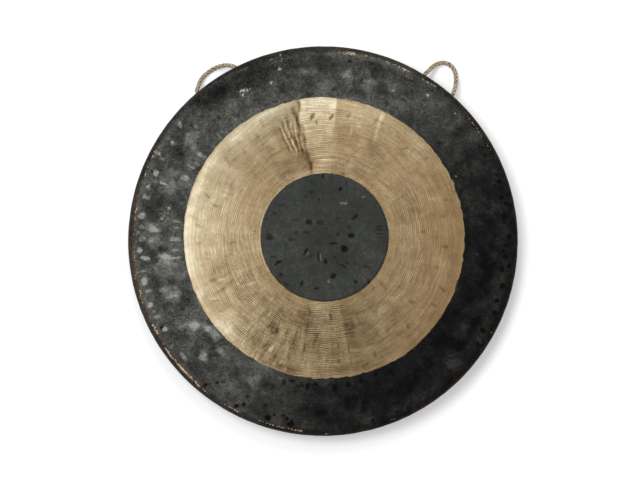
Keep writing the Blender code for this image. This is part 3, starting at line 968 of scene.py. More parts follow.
# Marks on the scraped ring, in the same terms, with their radii in the ring's own circles
RING_MARKS = {
    0.45: ((-160.9, 202, 4, 2, 25), (-144.1, 143, 6, 1.8, -12)),
    0.28: ((-117.5, 146, 8.5, 1.8, -14), (-112, 170, 5.5, 1.8, 10), (-154.3, 188, 7, 3),
           (-148.5, 209, 4.5, 2.2, 5), (-151.8, 171, 5, 1.7), (-150.7, 208, 6, 2, 10),
           (-163.5, 209, 4, 2.2, 20), (-158, 207, 4, 1.8, 15)),
    0.20: ((25.9, 205, 7.5, 2, 5), (70, 175, 8.5, 1.8, 8), (85, 171, 5.5, 1.8, 5), (-118.8, 193, 7, 1.8, 25),
           (-139.6, 179, 7, 2, 5), (166.7, 165, 13, 1.8, 4), (14, 167, 10, 2, -8)),
    0.14: ((-142, 198, 9, 2), (-165, 153, 8, 1.8), (16.7, 179, 5.5, 3.6)),
    -0.14: ((-98, 181, 3, 2.2), (-100.4, 149, 6, 2.6), (-103, 190, 2.6, 2.6), (-118.4, 145, 8.5, 2.2, -14),
            (30.8, 195, 4, 2.6), (41, 169, 3, 2.6), (48.3, 195, 4, 2.4), (52, 198, 4, 3),
            (46.7, 125, 9, 2, -15), (-41.8, 197, 6, 2.6)),
    -0.20: ((-92.3, 191, 4.5, 2.6), (-100, 182, 4, 3), (-125.4, 193, 6.5, 2.6, 15), (-51.3, 192, 6, 3, 15),
            (-43, 179, 5, 2, 30), (79.8, 185, 5, 2.6), (145.4, 172, 4, 2.8), (172.5, 167, 5.5, 2.8),
            (-144.8, 144, 8, 2.2, -14), (-111, 165, 7, 3.6)),
    -0.26: ((-84.3, 193, 7, 2.6, 20), (-119.8, 192, 7, 2.6, 25), (23.8, 195, 7, 2.8, 8),
            (-33, 186, 4, 2.8, 20), (42.5, 186, 6.5, 2.4, 30), (72.5, 194, 6, 3, 15), (86.7, 150, 6, 2.4, 5),
            (156.3, 193, 5.5, 2.8, 10), (178.7, 187, 4.5, 2.8), (-93, 140, 6, 2.2), (-100, 133, 2, 2),
            (-149.3, 206, 6, 1.9, 10), (-152.5, 205, 6, 2, 10), (-161, 206, 6, 2, 15), (-156, 190, 9, 1.9),
            (-147, 200, 7, 1.9, 5)),
    -0.32: ((-73.6, 174, 6, 2.8, 8), (-70.2, 190, 5.5, 2.8, 35), (-110.8, 182, 6, 2.8, 10),
            (11.4, 190, 5, 3, 10), (104.6, 179, 4.5, 3, 12), (113.6, 197, 6, 2.5, 22), (121.3, 197, 5, 3),
            (136.7, 186, 5.5, 2.6, 22), (126.3, 166, 4, 3, 10), (173.3, 190, 4.5, 2.6)),
    -0.75: ((3.3, 185, 5.6, 3.2, 28), (-5.6, 187, 6.4, 3, 28)),
    -0.55: ((-3.7, 177, 5, 2, -10),),
    -0.38: ((-158.5, 157, 4, 3), (-152.9, 160, 5, 3.5), (-151, 189, 4.5, 3.5), (94.2, 185, 5.5, 3, 12),
            (16.7, 102, 2.5, 3), (-85.2, 106, 2, 2.5), (175.8, 121, 6, 2.5), (97, 203, 2, 2),
            (-67.3, 195, 2, 2)),
}
# Marks on the dark disc in the middle: how far right of and above its centre the picture shows them, half
# length and half width (mm), and the clock angle that they point along
MIDDLE_MARKS = {
    0.30: ((59, 62, 2, 2, 0), (6, -68, 2.4, 2, 0), (29, 52, 8, 1.6, 90), (-26, -25, 5, 1.4, 35),
           (-6, -30, 6, 1.4, 172)),
    -0.18: ((-9, 57, 3, 2.4, 0), (-29, 63, 2.4, 2, 0), (-20, 69, 3, 1.8, 50), (-76, 36, 3.4, 2.8, 0),
            (-66, 49, 6, 2, 60), (-7, 22, 6.5, 4.5, 90), (-43, 7, 4, 3, 0), (-28, 8, 4, 2.8, 90),
            (37, 15, 4, 3.4, 0), (20, 4, 3.6, 3, 0), (17, -31, 2.6, 2.2, 0), (-67, -58, 4, 3, 0),
            (-58, -71, 5, 2.2, 110), (-51, -4, 6, 1.8, 95), (-44, 26, 7, 1.6, 95), (-79, -29, 6, 1.6, 80),
            (-88, 5, 6, 1.6, 72), (27, -43, 11, 1.6, 118), (64, -45, 8, 1.6, 100), (84, 16, 6, 1.5, 88),
            (84, 12, 6, 1.5, 86), (84, 6, 6, 1.5, 86), (84, 0, 5, 1.5, 90), (34, -39, 2, 2, 0),
            (-21, -29, 4, 1.6, 10), (33, 82, 5, 1.6, 10)),
    -0.27: ((25, 74, 4, 3.2, 90), (-24, 23, 5, 4, 90), (-84, 0, 6, 5, 60), (2, -37, 4, 3.5, 0),
            (47, -68, 3.5, 3, 0), (-12, -78, 4.5, 2.8, 60), (-35, -71, 5.5, 2, 20), (-2, 93, 4, 2, 0),
            (-29, -22, 7, 1.8, 35), (-9, -29, 8.5, 1.8, 172), (14, -9, 7, 2, 80), (46, 31, 7, 2, 55),
            (67, -67, 3, 2, 0)),
    -0.36: ((41, 3, 5.5, 4, 70), (14, -59, 5, 4, 60), (-71, -39, 8, 2, 55)),
    -0.45: ((30, -17, 6, 5, 140),),
}
# How deep the marks of each kind are beaten, and how strongly their tone shows
BAND_DEPTH, BAND_CONTRAST = 0.00045, 1.25
RING_DEPTH, RING_CONTRAST = 0.00012, 0.62
MIDDLE_DEPTH, MIDDLE_CONTRAST = 0.00022, 0.95
# Fainter marks at random between them: how many, the radii that they lie between, half length, half width,
# depth, change of tone, and how far they may turn from pointing outwards (degrees)
SCATTERED = (
    (50, (0.104, 0.205), (0.006, 0.013), (0.0016, 0.0030), 0.00006, (-0.14, 0.08), 35.0),
    (40, (0.020, 0.094), (0.004, 0.009), (0.0010, 0.0016), 0.00005, (-0.12, 0.06), 180.0),
    (120, (0.225, 0.276), (0.008, 0.016), (0.006, 0.012), 0.00020, (-0.08, 0.04), 180.0),
    (130, (0.220, 0.289), (0.0024, 0.0046), (0.0018, 0.0030), 0.00025, (-0.20, 0.08), 180.0),
)
# The hammer's blows on the back: how many, how far out, and the limits of half length, half width, turn,
# depth and change of tone
BACK_BLOWS = 420
BACK_REACH = 0.285
BLOW_LIMITS = ((0.008, 0.016), (0.007, 0.012), (0.0, math.pi), (0.0001, 0.00032), (-0.16, 0.10))
# The squared distance from a mark's middle at which its tone has faded, and at which it is full, where 1 is
# the edge of the beaten hollow
MARK_FADED, MARK_FULL = 1.2, 0.45


def read_marks():
    """The marks of the tables as x, y, half length, half width, turn, depth and change of tone."""
    tables = ((BAND_MARKS_AND_SHADING, place_by_rim, BAND_DEPTH, BAND_CONTRAST),
              (FLECKS_AND_GLINTS, place_by_rim, 0.0, BAND_CONTRAST),
              (RING_MARKS, place_on_face, RING_DEPTH, RING_CONTRAST))
    marks = []
    for table, place, depth, contrast in tables:
        for tone, rows in table.items():
            for clock, radius, length, width, *lean in rows:
                size = (length / 1000, width / 1000)
                turn = math.radians(clock - CAMERA_TURN + sum(lean))
                marks.append((*place(clock, radius / 1000), *size, turn, depth, tone * contrast))
    c, s = math.cos(math.radians(CAMERA_TURN)), math.sin(math.radians(CAMERA_TURN))
    for tone, rows in MIDDLE_MARKS.items():
        for right, above, length, width, along in rows:
            x = CENTRE_OFFSET[0] + (right * c - above * s) / 1000
            y = CENTRE_OFFSET[1] + (right * s + above * c) / 1000
            turn = math.radians(along - CAMERA_TURN)
            marks.append((x, y, length / 1000, width / 1000, turn, MIDDLE_DEPTH, tone * MIDDLE_CONTRAST))
    return marks


def hammer_marks():
    """All the separate marks on the front."""
    rng = np.random.RandomState(11)
    marks = read_marks()
    for count, radii, length, width, depth, tones, turn in SCATTERED:
        for _ in range(count):
            clock = rng.uniform(-180, 180)
            place = place_on_face(clock, rng.uniform(*radii))
            marks.append((*place, rng.uniform(*length), rng.uniform(*width),
                          math.radians(clock + rng.uniform(-turn, turn)), depth, rng.uniform(*tones)))
    return marks


def back_blows():
    """The marks on the back, in the same terms, spread evenly over it."""
    rng = np.random.RandomState(91)
    blows = []
    for _ in range(BACK_BLOWS):
        radius = BACK_REACH * math.sqrt(rng.uniform(0.0, 1.0))
        place = place_on_face(rng.uniform(-180, 180), radius)
        blows.append((*place, *(rng.uniform(*limits) for limits in BLOW_LIMITS)))
    return blows


def add_marks(x, y, marks):
    """The depth of all marks at each point, and their change of tone."""
    depth = np.zeros_like(x)
    tone = np.zeros_like(x)
    for mx, my, length, width, turn, deep, shade in marks:
        reach = 1.1 * (length + width)
        near = np.flatnonzero((np.abs(x - mx) < reach) & (np.abs(y - my) < reach))
        dx, dy = x[near] - mx, y[near] - my
        u = dx * math.sin(turn) + dy * math.cos(turn)
        v = dx * math.cos(turn) - dy * math.sin(turn)
        far = (u / length) ** 2 + (v / width) ** 2
        depth[near] += deep * np.clip(1 - far, 0, 1) ** 1.5
        tone[near] += shade * smoothstep(far, MARK_FADED, MARK_FULL)
    return depth, tone


# The tones of the face

# Soft patches on the dark band: clock angle, radius (mm), half width (degrees), half height (mm) and change
# of tone. First the chalky ones on the left, which are partly painted reflections of the lamp, then pale ones
# elsewhere, then black ones
BAND_PATCHES = (
    (-134.4, 256, 2.2, 7, 0.30), (-120.4, 255, 1.8, 8, 0.18), (-122.7, 235, 2.3, 10, 0.44),
    (-137.3, 229, 2.8, 8, 0.26), (-129, 221, 4.2, 8, 0.34), (-108.5, 252, 2.4, 9, 0.24),
    (-111.5, 245, 2.1, 8, 0.22), (-110.4, 236, 1.6, 6, 0.26), (-99.5, 245, 4, 17, 0.16),
    (-96, 247, 1, 11, 0.28), (-90.4, 256, 3.4, 11, 0.20), (-85.4, 258, 2.1, 14, 0.34),
    (-70, 252, 2.8, 15, 0.14), (-64.6, 252, 2.2, 11, 0.17), (-52, 256, 3.5, 10, 0.25),
    (-47.3, 261, 1.1, 6, 0.18), (-69, 270, 2.2, 6, 0.14), (8, 254, 5, 6, 0.11), (15, 256, 2.5, 6, 0.09),
    (24, 258, 1, 4.5, 0.20), (30.5, 255, 2.6, 3.5, 0.16), (-6, 258, 2.5, 6, 0.08), (9.5, 238, 1, 11, 0.10),
    (95, 265, 2.4, 8, 0.14), (123, 256, 2.5, 15, 0.12), (110.8, 264, 2.5, 8, 0.10), (133, 270, 3.5, 15, 0.12),
    (173, 264, 3, 6, 0.10), (206, 235, 2, 8, 0.18), (200.5, 249, 2.2, 4, 0.14), (204, 245, 2, 6, 0.12),
    (82.3, 253, 2.5, 6, -0.12), (97.7, 265, 1, 5, -0.14), (90.8, 258, 1.8, 8, -0.10),
    (95.4, 248, 2.5, 6, -0.10), (103.8, 256, 5, 11, -0.16), (117.7, 265, 3, 9, -0.20),
    (128, 264, 1.8, 11, -0.18), (138.5, 245, 2, 8, -0.15), (148.5, 261, 2.5, 9, -0.12),
    (118.8, 230, 3, 6, -0.12), (165.5, 262, 1.8, 9, -0.20), (180.5, 262, 2.2, 7, -0.20),
    (155.3, 269, 1.5, 4, -0.12), (170, 245, 3, 8, -0.08), (-36, 276, 5, 12, -0.10), (-78, 261, 6, 14, -0.10),
    (-58, 258, 2.5, 9, -0.12), (-93, 250, 1.5, 15, -0.12), (200, 235, 2.5, 6, -0.08),
    (-77, 238, 4, 12, -0.08),
)
# Broad and smooth shades of the band, in the same terms
BAND_SHADES = (
    (-24, 278, 20, 22, -0.18), (-42, 285, 16, 14, -0.10), (-20, 240, 20, 14, -0.05), (128, 287, 40, 10, 0.10),
    (-145, 280, 20, 8, -0.10), (-106, 261, 12, 14, -0.13), (-95, 274, 8, 8, -0.06), (-75, 278, 7, 8, -0.10),
    (-75, 232, 6, 8, -0.07), (-62, 232, 10, 8, 0.11), (-35, 256, 7, 14, 0.12), (-25, 262, 5, 8, -0.07),
    (-15, 232, 6, 8, -0.07), (-15, 278, 8, 7, -0.09), (-5, 262, 5, 8, 0.13), (5, 240, 7, 10, 0.09),
    (8, 275, 6, 7, -0.05), (25, 278, 6, 7, -0.09), (65, 240, 9, 12, 0.03), (-178, 260, 12, 18, -0.09),
    (-80, 292, 40, 5, 0.19), (22, 292, 30, 5, 0.20), (-148, 292, 26, 5, 0.15), (12, 292, 7, 4, 0.12),
    (-55, 292, 8, 5, 0.11), (-130, 292, 8, 4, 0.08), (-68, 262, 14, 12, -0.05), (3, 275, 6, 8, -0.05),
    (130, 294, 40, 5, -0.21), (110, 246, 45, 10, -0.04), (110, 278, 45, 9, 0.07), (17, 230, 8, 8, -0.07),
    (2, 229, 6, 7, 0.07), (33, 248, 6, 7, -0.06), (-48, 274, 7, 11, 0.10), (-28, 262, 5, 8, -0.08),
    (2, 262, 6, 8, -0.07), (-108, 236, 8, 13, -0.09), (-138, 230, 6, 8, 0.08), (-88, 231, 5, 8, 0.07),
    (-58, 231, 6, 7, 0.06), (15, 292, 5, 4, 0.10), (-110, 292, 6, 4, 0.08), (-50, 292, 7, 5, 0.08),
    (-56, 276, 6, 8, -0.07), (-144, 292, 5, 4, -0.06),
)
# Large shallow blows on the band whose edges catch the light: clock angle, radius and half width (mm)
DISHES = ((-101.3, 239, 25), (-90.6, 254, 13.5), (-70.5, 254, 12), (-121, 252, 15), (12, 256, 20))
# Broad lighter and darker stretches of the ring, in the same terms as the shades: the bronze's own patches,
# with the broad light ones on the left partly a painted sheen of the lamp from the left, the broad dark ones on
# the right partly painted shade, and the thin light one along the inner edge on the left a painted highlight on
# the step
RING_PATCHES_AND_SHADING = (
    (-88, 182, 26, 58, 0.115), (-130, 190, 18, 35, 0.090), (-105, 213, 42, 15, 0.160),
    (-98, 195, 52, 35, 0.140), (-60, 215, 32, 12, 0.100), (-20, 215, 40, 20, 0.090), (45, 175, 14, 50, 0.045),
    (13, 195, 12, 20, 0.070), (-168, 122, 16, 14, -0.095), (70, 200, 20, 14, -0.040),
    (168, 202, 16, 14, -0.050), (178, 160, 30, 90, -0.100), (145, 160, 38, 90, -0.060),
    (-22, 145, 13, 35, -0.040), (-18, 199, 4.2, 11, -0.060), (-25, 207, 7, 7, 0.100),
    (-17, 121, 7.5, 15, -0.130), (-13, 118, 2.5, 12, -0.120), (-24, 170, 3, 22, -0.100),
    (29, 145, 3.5, 28, -0.080), (164.6, 147, 2.6, 17, -0.160), (158.3, 157, 4, 9, -0.080),
    (40, 150, 25, 35, -0.040), (-138.5, 137, 4.5, 10, -0.120), (-149, 159, 3.2, 10, -0.170),
    (-145, 188, 5.5, 9, -0.200), (-150, 134, 4, 9, -0.090), (-163, 131, 6, 12, -0.080),
    (-153, 172, 2.2, 14, -0.120), (-164, 209, 5, 6, -0.110), (-156, 200, 8, 16, -0.060),
    (-174, 170, 5, 20, -0.060), (-167.0, 168, 1.5, 26, 0.150), (-163.6, 166, 1.0, 22, -0.120),
    (-135, 205, 6, 6, 0.150), (-112, 155, 13, 20, -0.090), (-98, 202, 14, 12, -0.040),
    (-68, 145, 14, 30, 0.110), (-62, 207, 9, 6, 0.110), (-45, 142, 7, 30, -0.140), (-36, 205, 7, 7, 0.090),
    (-25, 122, 6, 16, -0.120), (-5, 165, 5, 12, -0.100), (-5, 200, 5, 14, -0.050), (7, 205, 5, 8, 0.120),
    (15, 192, 6, 20, 0.080), (25, 204, 6, 7, 0.130), (45, 205, 17, 6, 0.110), (45, 116, 6, 12, 0.080),
    (108, 203, 34, 14, -0.110), (70, 142, 12, 14, -0.060), (105, 140, 14, 10, -0.070),
    (-175, 140, 6, 12, -0.080), (-90, 99.4, 42, 1.4, 0.200), (-165, 116, 6, 10, 0.080),
    (175, 205, 7, 6, -0.190), (172, 168, 10, 16, -0.080), (-38, 196, 8, 15, 0.070), (-22, 210, 6, 7, 0.100),
    (-145, 192, 4, 15, -0.090), (-156, 184, 4, 9, 0.110), (-163, 141, 11, 9, -0.090),
    (86, 178, 15, 32, -0.055), (138, 162, 13, 18, -0.055), (165, 184, 6, 9, 0.060), (50, 206, 9, 6, 0.050),
    (-133, 208, 7, 7, 0.055), (-100, 180, 12, 11, -0.060), (-96, 180, 3, 6, -0.080), (-38, 212, 9, 7, 0.050),
)
# Radial strokes beside the ring: clock angle, inner and outer radius (mm)
STROKES = (
    (-96.5, 218, 233), (-93.5, 221, 233), (-89.6, 218, 235), (-88.8, 219, 233), (-84.8, 221, 230),
    (-82.3, 219, 232), (-65.9, 227, 240), (-64.9, 227, 239), (-60.6, 225, 238), (-58.5, 221, 232),
    (-55.2, 220, 235), (-54.4, 220, 233), (-44.6, 221, 232), (-35.8, 225, 238),
)
# Stretches where the fold's corner has rubbed through to the bronze: clock angles of the two ends, radius and
# half width (mm), and how bare
WORN = (
    (-174, -160, 292.5, 2.0, 0.66), (-154.5, -149, 292.4, 1.5, 0.74), (-149, -140, 292, 1.7, 0.66),
    (-139.5, -124, 292, 2.2, 1.00), (-123.5, -116, 290.5, 2.4, 0.80), (-118, -100, 290.5, 4.5, 0.50),
    (-103, -92, 291, 5.0, 0.46), (-96, -58, 290.5, 3.2, 0.48), (-42, -24, 291, 1.6, 0.42),
    (4, 34, 291.8, 2.2, 0.56), (5, 10, 291.5, 4.0, 0.62), (11.8, 13.6, 290.7, 1.8, 0.64),
    (22.8, 27.6, 292.5, 2.0, 0.68), (34, 62, 292.5, 2.0, 0.50), (62, 186, 293, 1.7, 0.34),
    (177.8, 179.6, 296, 1.8, 0.80),
)
# Where the ring is crumpled across its grooves, in the same terms as the shades
CRINKLED = (
    (-17, 165, 5, 32, 0.40), (-152, 170, 20, 50, 0.45), (-115, 150, 16, 30, 0.22), (178, 185, 12, 30, 0.20),
    (15, 120, 14, 16, 0.25),
)
# Wrinkles near the top of the ring, drawn as painted shade in their hollows, the dark ones partly brown smears
# in the bronze, and as painted highlights on their crests: clock angle and radius at the outer end, the middle
# and the inner end, half width in metres and change of tone
WRINKLE_SHADE_AND_HIGHLIGHTS = (
    ((-21.9, 0.182), (-22.1, 0.160), (-21.6, 0.138), 0.0016, -0.26),
    ((-19.9, 0.189), (-19.5, 0.162), (-19.0, 0.135), 0.0017, -0.30),
    ((-17.3, 0.194), (-17.7, 0.176), (-16.9, 0.158), 0.0017, -0.28),
    ((-15.9, 0.182), (-16.2, 0.156), (-16.9, 0.130), 0.0018, -0.34),
    ((-13.9, 0.196), (-13.6, 0.166), (-14.9, 0.128), 0.0019, -0.32),
    ((-12.2, 0.175), (-10.8, 0.160), (-11.8, 0.139), 0.0021, -0.34),
    ((-10.8, 0.215), (-10.7, 0.207), (-10.4, 0.198), 0.0019, -0.36),
    ((-13.6, 0.208), (-13.8, 0.200), (-13.9, 0.192), 0.0030, -0.24),
    ((-11.8, 0.197), (-13.0, 0.183), (-12.4, 0.168), 0.0027, -0.30),
    ((-13.2, 0.140), (-11.4, 0.127), (-10.6, 0.113), 0.0030, -0.30),
    ((-10.5, 0.118), (-10.9, 0.109), (-12.5, 0.099), 0.0026, -0.26),
    ((-21.0, 0.184), (-20.9, 0.160), (-20.3, 0.136), 0.0014, 0.24),
    ((-18.5, 0.188), (-18.1, 0.160), (-17.7, 0.132), 0.0015, 0.26),
    ((-16.2, 0.188), (-16.7, 0.174), (-16.2, 0.157), 0.0013, 0.20),
    ((-14.5, 0.186), (-14.9, 0.167), (-14.4, 0.139), 0.0014, 0.26),
    ((-13.0, 0.158), (-13.1, 0.148), (-12.8, 0.134), 0.0012, 0.22),
    ((24.5, 0.214), (25.5, 0.190), (27.0, 0.163), 0.0020, 0.20),
    ((-117, 0.190), (-116, 0.165), (-115, 0.150), 0.0026, -0.16),
    ((-121, 0.150), (-122, 0.138), (-123, 0.124), 0.0020, 0.20),
    ((-153, 0.200), (-152, 0.180), (-151, 0.160), 0.0022, -0.20),
    ((-157, 0.205), (-158, 0.185), (-158, 0.165), 0.0022, -0.20),
    ((-161, 0.196), (-161, 0.180), (-159, 0.150), 0.0018, 0.09),
    ((-169.6, 0.195), (-169.6, 0.160), (-169.2, 0.128), 0.0020, -0.18),
    ((168.8, 0.200), (167.2, 0.165), (166.4, 0.130), 0.0018, -0.18),
)
# The left border of the bright fan at the ring's top, a painted highlight of the lamp on the grooves over the
# scraping's own pale grain: its radius and clock angle from the inside out
SHEEN_FAN_BORDER = (
    (0.109, -10.3), (0.121, -10.5), (0.138, -12.0), (0.158, -10.7), (0.173, -12.6), (0.188, -12.2),
    (0.202, -10.5),
)
# Stretches of the ring with bundles of deeper grooves: clock angle, radius and half height (mm), the degrees
# from there at which they have faded and at which they are full, and how strong
BUNDLES = ((105, 142.5, 8, 55, 25, 0.14), (100, 188, 10, 50, 20, 0.12))
# Patches of the other values that the materials read, in the same terms as the shades
RIPPLED = ((-1.5, 119, 9, 14, 0.15),)
WARM_RING = (
    (118, 215, 26, 12, 0.55), (60, 97.9, 70, 10, 0.35), (160, 97.9, 60, 14, 0.30), (90, 190, 50, 50, 0.55),
)
WARM_BAND = ((-100, 293, 22, 6, 0.60), (-131, 288, 9, 3, 0.70), (-150, 238, 20, 20, 0.07))
COOL = ((-24, 207, 17, 28, 0.95), (-50, 180, 35, 50, 0.40))
GOLDEN = ((-81, 245, 4.5, 12, 0.50), (-90, 290, 28, 5, 0.45), (-9, 283, 4, 8, 0.45), (28, 284, 6, 4, 0.48))
# Where the band shows painted glints
GLINT_SPECKLED = ((-27.5, 258, 2.5, 10, 0.6), (-13.5, 279, 3, 9, 0.6), (-82, 248, 4, 12, 0.4))
GROOVED = (
    (-90, 165, 30, 30, 0.9), (105, 142.5, 60, 10, 1.2), (18, 190, 14, 30, 1.0), (-140, 160, 25, 50, 1.6),
    (80, 170, 60, 60, 0.8),
)
CALM = ((-90, 210, 48, 24, 0.78),)
# Painted shade along the lower right edge of the dark disc, where it steps down to the ring
SHADED_MIDDLE_EDGE = ((150, 97.3, 80, 1.6, 0.16),)
# Other places on the face, as clock angles and metres
CHALK_AND_SHEEN_CLOCK = -60.0  # where the skin is chalkiest, and where the painted sheen of the lamp from the upper left is brightest
TOP_SHEEN_FAN_END = 5.2  # the right border of the bright fan at the ring's top, a painted highlight
SHEEN_FAN_SOFT, SHEEN_FAN_CRISP = 0.150, 0.172  # this border is blurred inside the first radius, crisp beyond the second
SHEEN_FAN_PALE, SHEEN_FAN_BRIGHT = 0.12, 0.20  # the same fan's painted highlight brightens between these radii
FOOT_SHEEN_FAN = (167.7, 190.0)  # the two borders of the painted highlight fan at its foot
FOLD_HIGHLIGHT_CLOCK, FOLD_HIGHLIGHT_RADIUS = -34.0, 0.2935  # the middle of a painted highlight along the fold
BLEND = 0.0004  # to both sides of the ring's edges, where its tone gives way to its neighbours'
WORN_ABOVE = 0.045  # the skin is whole on the rim below this height
FOLD_FROM, FOLD_FULL = 0.286, 0.297  # the band grows warmer towards the fold between these radii
WARP, WARP_SIZE = 0.0010, 0.006  # how far the outlines of marks are bent, and the size of the bends
TEAR, TEAR_SIZE = 0.0045, 0.013  # the same for the broad bends of the band's patches
FINE_TEAR, FINE_TEAR_SIZE = 0.0025, 0.006  # and for their fine ones
STROKE_WIDTH = 0.34  # degrees
STROKE_START, STROKE_END = 0.002, 0.003  # over which a stroke beside the ring fades in and out
FOLD_HIGHLIGHT_WIDTH = 0.0013
STROKE_STEPS = 14
STROKE_FADE = 7  # each end of a wrinkle fades over one seventh of it


def along_line(x, y, ends, width, tone):
    """The change of tone that a bent stroke through three points makes."""
    corners = [np.array(place_on_face(clock, rho)) for clock, rho in ends]
    best = np.full(len(x), 1e9)
    share = np.zeros(len(x))
    line = [(1 - t) ** 2 * corners[0] + 2 * t * (1 - t) * (2 * corners[1] - (corners[0] + corners[2]) / 2)
            + t**2 * corners[2] for t in np.linspace(0, 1, STROKE_STEPS + 1)]
    points = np.column_stack([x, y])
    for k, (a, b) in enumerate(zip(line, line[1:])):
        d = b - a
        t = np.clip(((points - a) @ d) / (d @ d), 0, 1)
        far = np.linalg.norm(points - a - t[:, None] * d, axis=1)
        better = far < best
        best = np.where(better, far, best)
        share = np.where(better, (k + t) / STROKE_STEPS, share)
    ends_fade = np.clip(np.minimum(share, 1 - share) * STROKE_FADE, 0, 1)
    return tone * np.exp(-(best / width) ** 2) * (0.25 + 0.75 * ends_fade)


class Spots:
    """Points of the gong, and where they lie on its scraped circles and on those of its rim."""

    def __init__(self, x, y, z):
        self.x, self.y, self.z = x, y, z
        self.rho = uneven_radius(x, y)
        ox, oy = offset(self.rho)
        self.clock = np.degrees(np.arctan2(x - ox, y - oy)) + CAMERA_TURN
        self.away = np.hypot(x, y)
        self.rim_clock = np.degrees(np.arctan2(x, y)) + CAMERA_TURN
        # 1 towards the upper left, where the skin is chalkiest and a painted sheen of the lamp lightens it, -1
        # towards the lower right, where it is blackest, partly by painted shade
        self.light = np.cos(np.radians(turned_by(self.clock, CHALK_AND_SHEEN_CLOCK)))

    def field(self, size, seed):
        return field(self.x, self.y, size, seed)

    def clouds(self, size, seed):
        return clouds(self.x, self.y, size, seed)

    def patches(self, rows):
        return patches(self.clock, self.rho, rows)

    def sector(self, at, faded, full):
        """1 about a clock angle, and 0 further from it."""
        return smoothstep(np.abs(turned_by(self.clock, at)), faded, full)

    def wave(self, pitch, wander, size, seed):
        """Circular waves that wander."""
        return np.sin((self.rho + wander * self.field(size, seed)) * 2 * math.pi / pitch)


def sheen_fans(s):
    """How far each point is inside the bright fans at the top of the ring and at its foot: painted highlights
    of the lamp on the grooves, partly the scraping's own pale grain.
    """
    border = np.interp(s.rho, *zip(*SHEEN_FAN_BORDER)) + 0.5 * s.field(0.006, 59)
    soft = 0.6 + 5.0 * smoothstep(s.rho, SHEEN_FAN_CRISP, SHEEN_FAN_SOFT)
    top = smoothstep(turned_by(s.clock, border), -0.5, 0.6)
    top = top * smoothstep(turned_by(s.clock, TOP_SHEEN_FAN_END) / soft, 1.0, -1.0)
    start, end = (turned_by(s.clock, border) for border in FOOT_SHEEN_FAN)
    foot = smoothstep(start, -0.7, 0.7) * smoothstep(end, 4, -4)
    return top, foot


def ring_tone(s, top_sheen_fan, foot_sheen_fan):
    """The tone of the scraped ring."""
    # A little darker towards the upper left: painted shade that offsets the lamp's sheen there
    tone = 0.50 - 0.02 * smoothstep(s.light, -0.6, 0.6) + s.patches(RING_PATCHES_AND_SHADING)
    # The fans get a painted highlight, at the top brightest towards the ring's outer edge
    tone += top_sheen_fan * (0.07 + 0.23 * smoothstep(s.rho, SHEEN_FAN_PALE, SHEEN_FAN_BRIGHT)) + foot_sheen_fan * 0.07
    tone += s.wave(RIPPLE_PITCH, 0.0010, 0.014, 54) * (0.03 + s.patches(RIPPLED)) * s.sector(0, 22, 10)
    bundle = 0.5 + 0.5 * s.wave(COARSE_PITCH, 0.0012, 0.03, 23)
    for at, radius, tall, faded, full, amount in BUNDLES:
        belt = np.exp(-((s.rho - radius / 1000) / (tall / 1000)) ** 2)
        tone += amount * bundle * belt * s.sector(at, faded, full)
    tone += bundle * 0.07 * s.sector(-100, 30, 15)
    turn, out = np.radians(s.clock), s.rho * 0.25
    tone += 0.05 * s.clouds(0.05, 5)
    tone += 0.04 * field(turn * 0.30, out, 0.02, 8) + 0.02 * field(turn * 0.6, out, 0.012, 9)
    bent_x = s.x + 0.0022 * s.field(0.012, 55) + 0.0012 * s.field(0.006, 56)
    bent_y = s.y + 0.0022 * s.field(0.012, 57)
    uneven = 0.85 + 0.6 * s.field(0.008, 58)
    for *ends, width, change in WRINKLE_SHADE_AND_HIGHLIGHTS:
        tone += along_line(bent_x, bent_y, ends, width, change) * uneven
    return tone


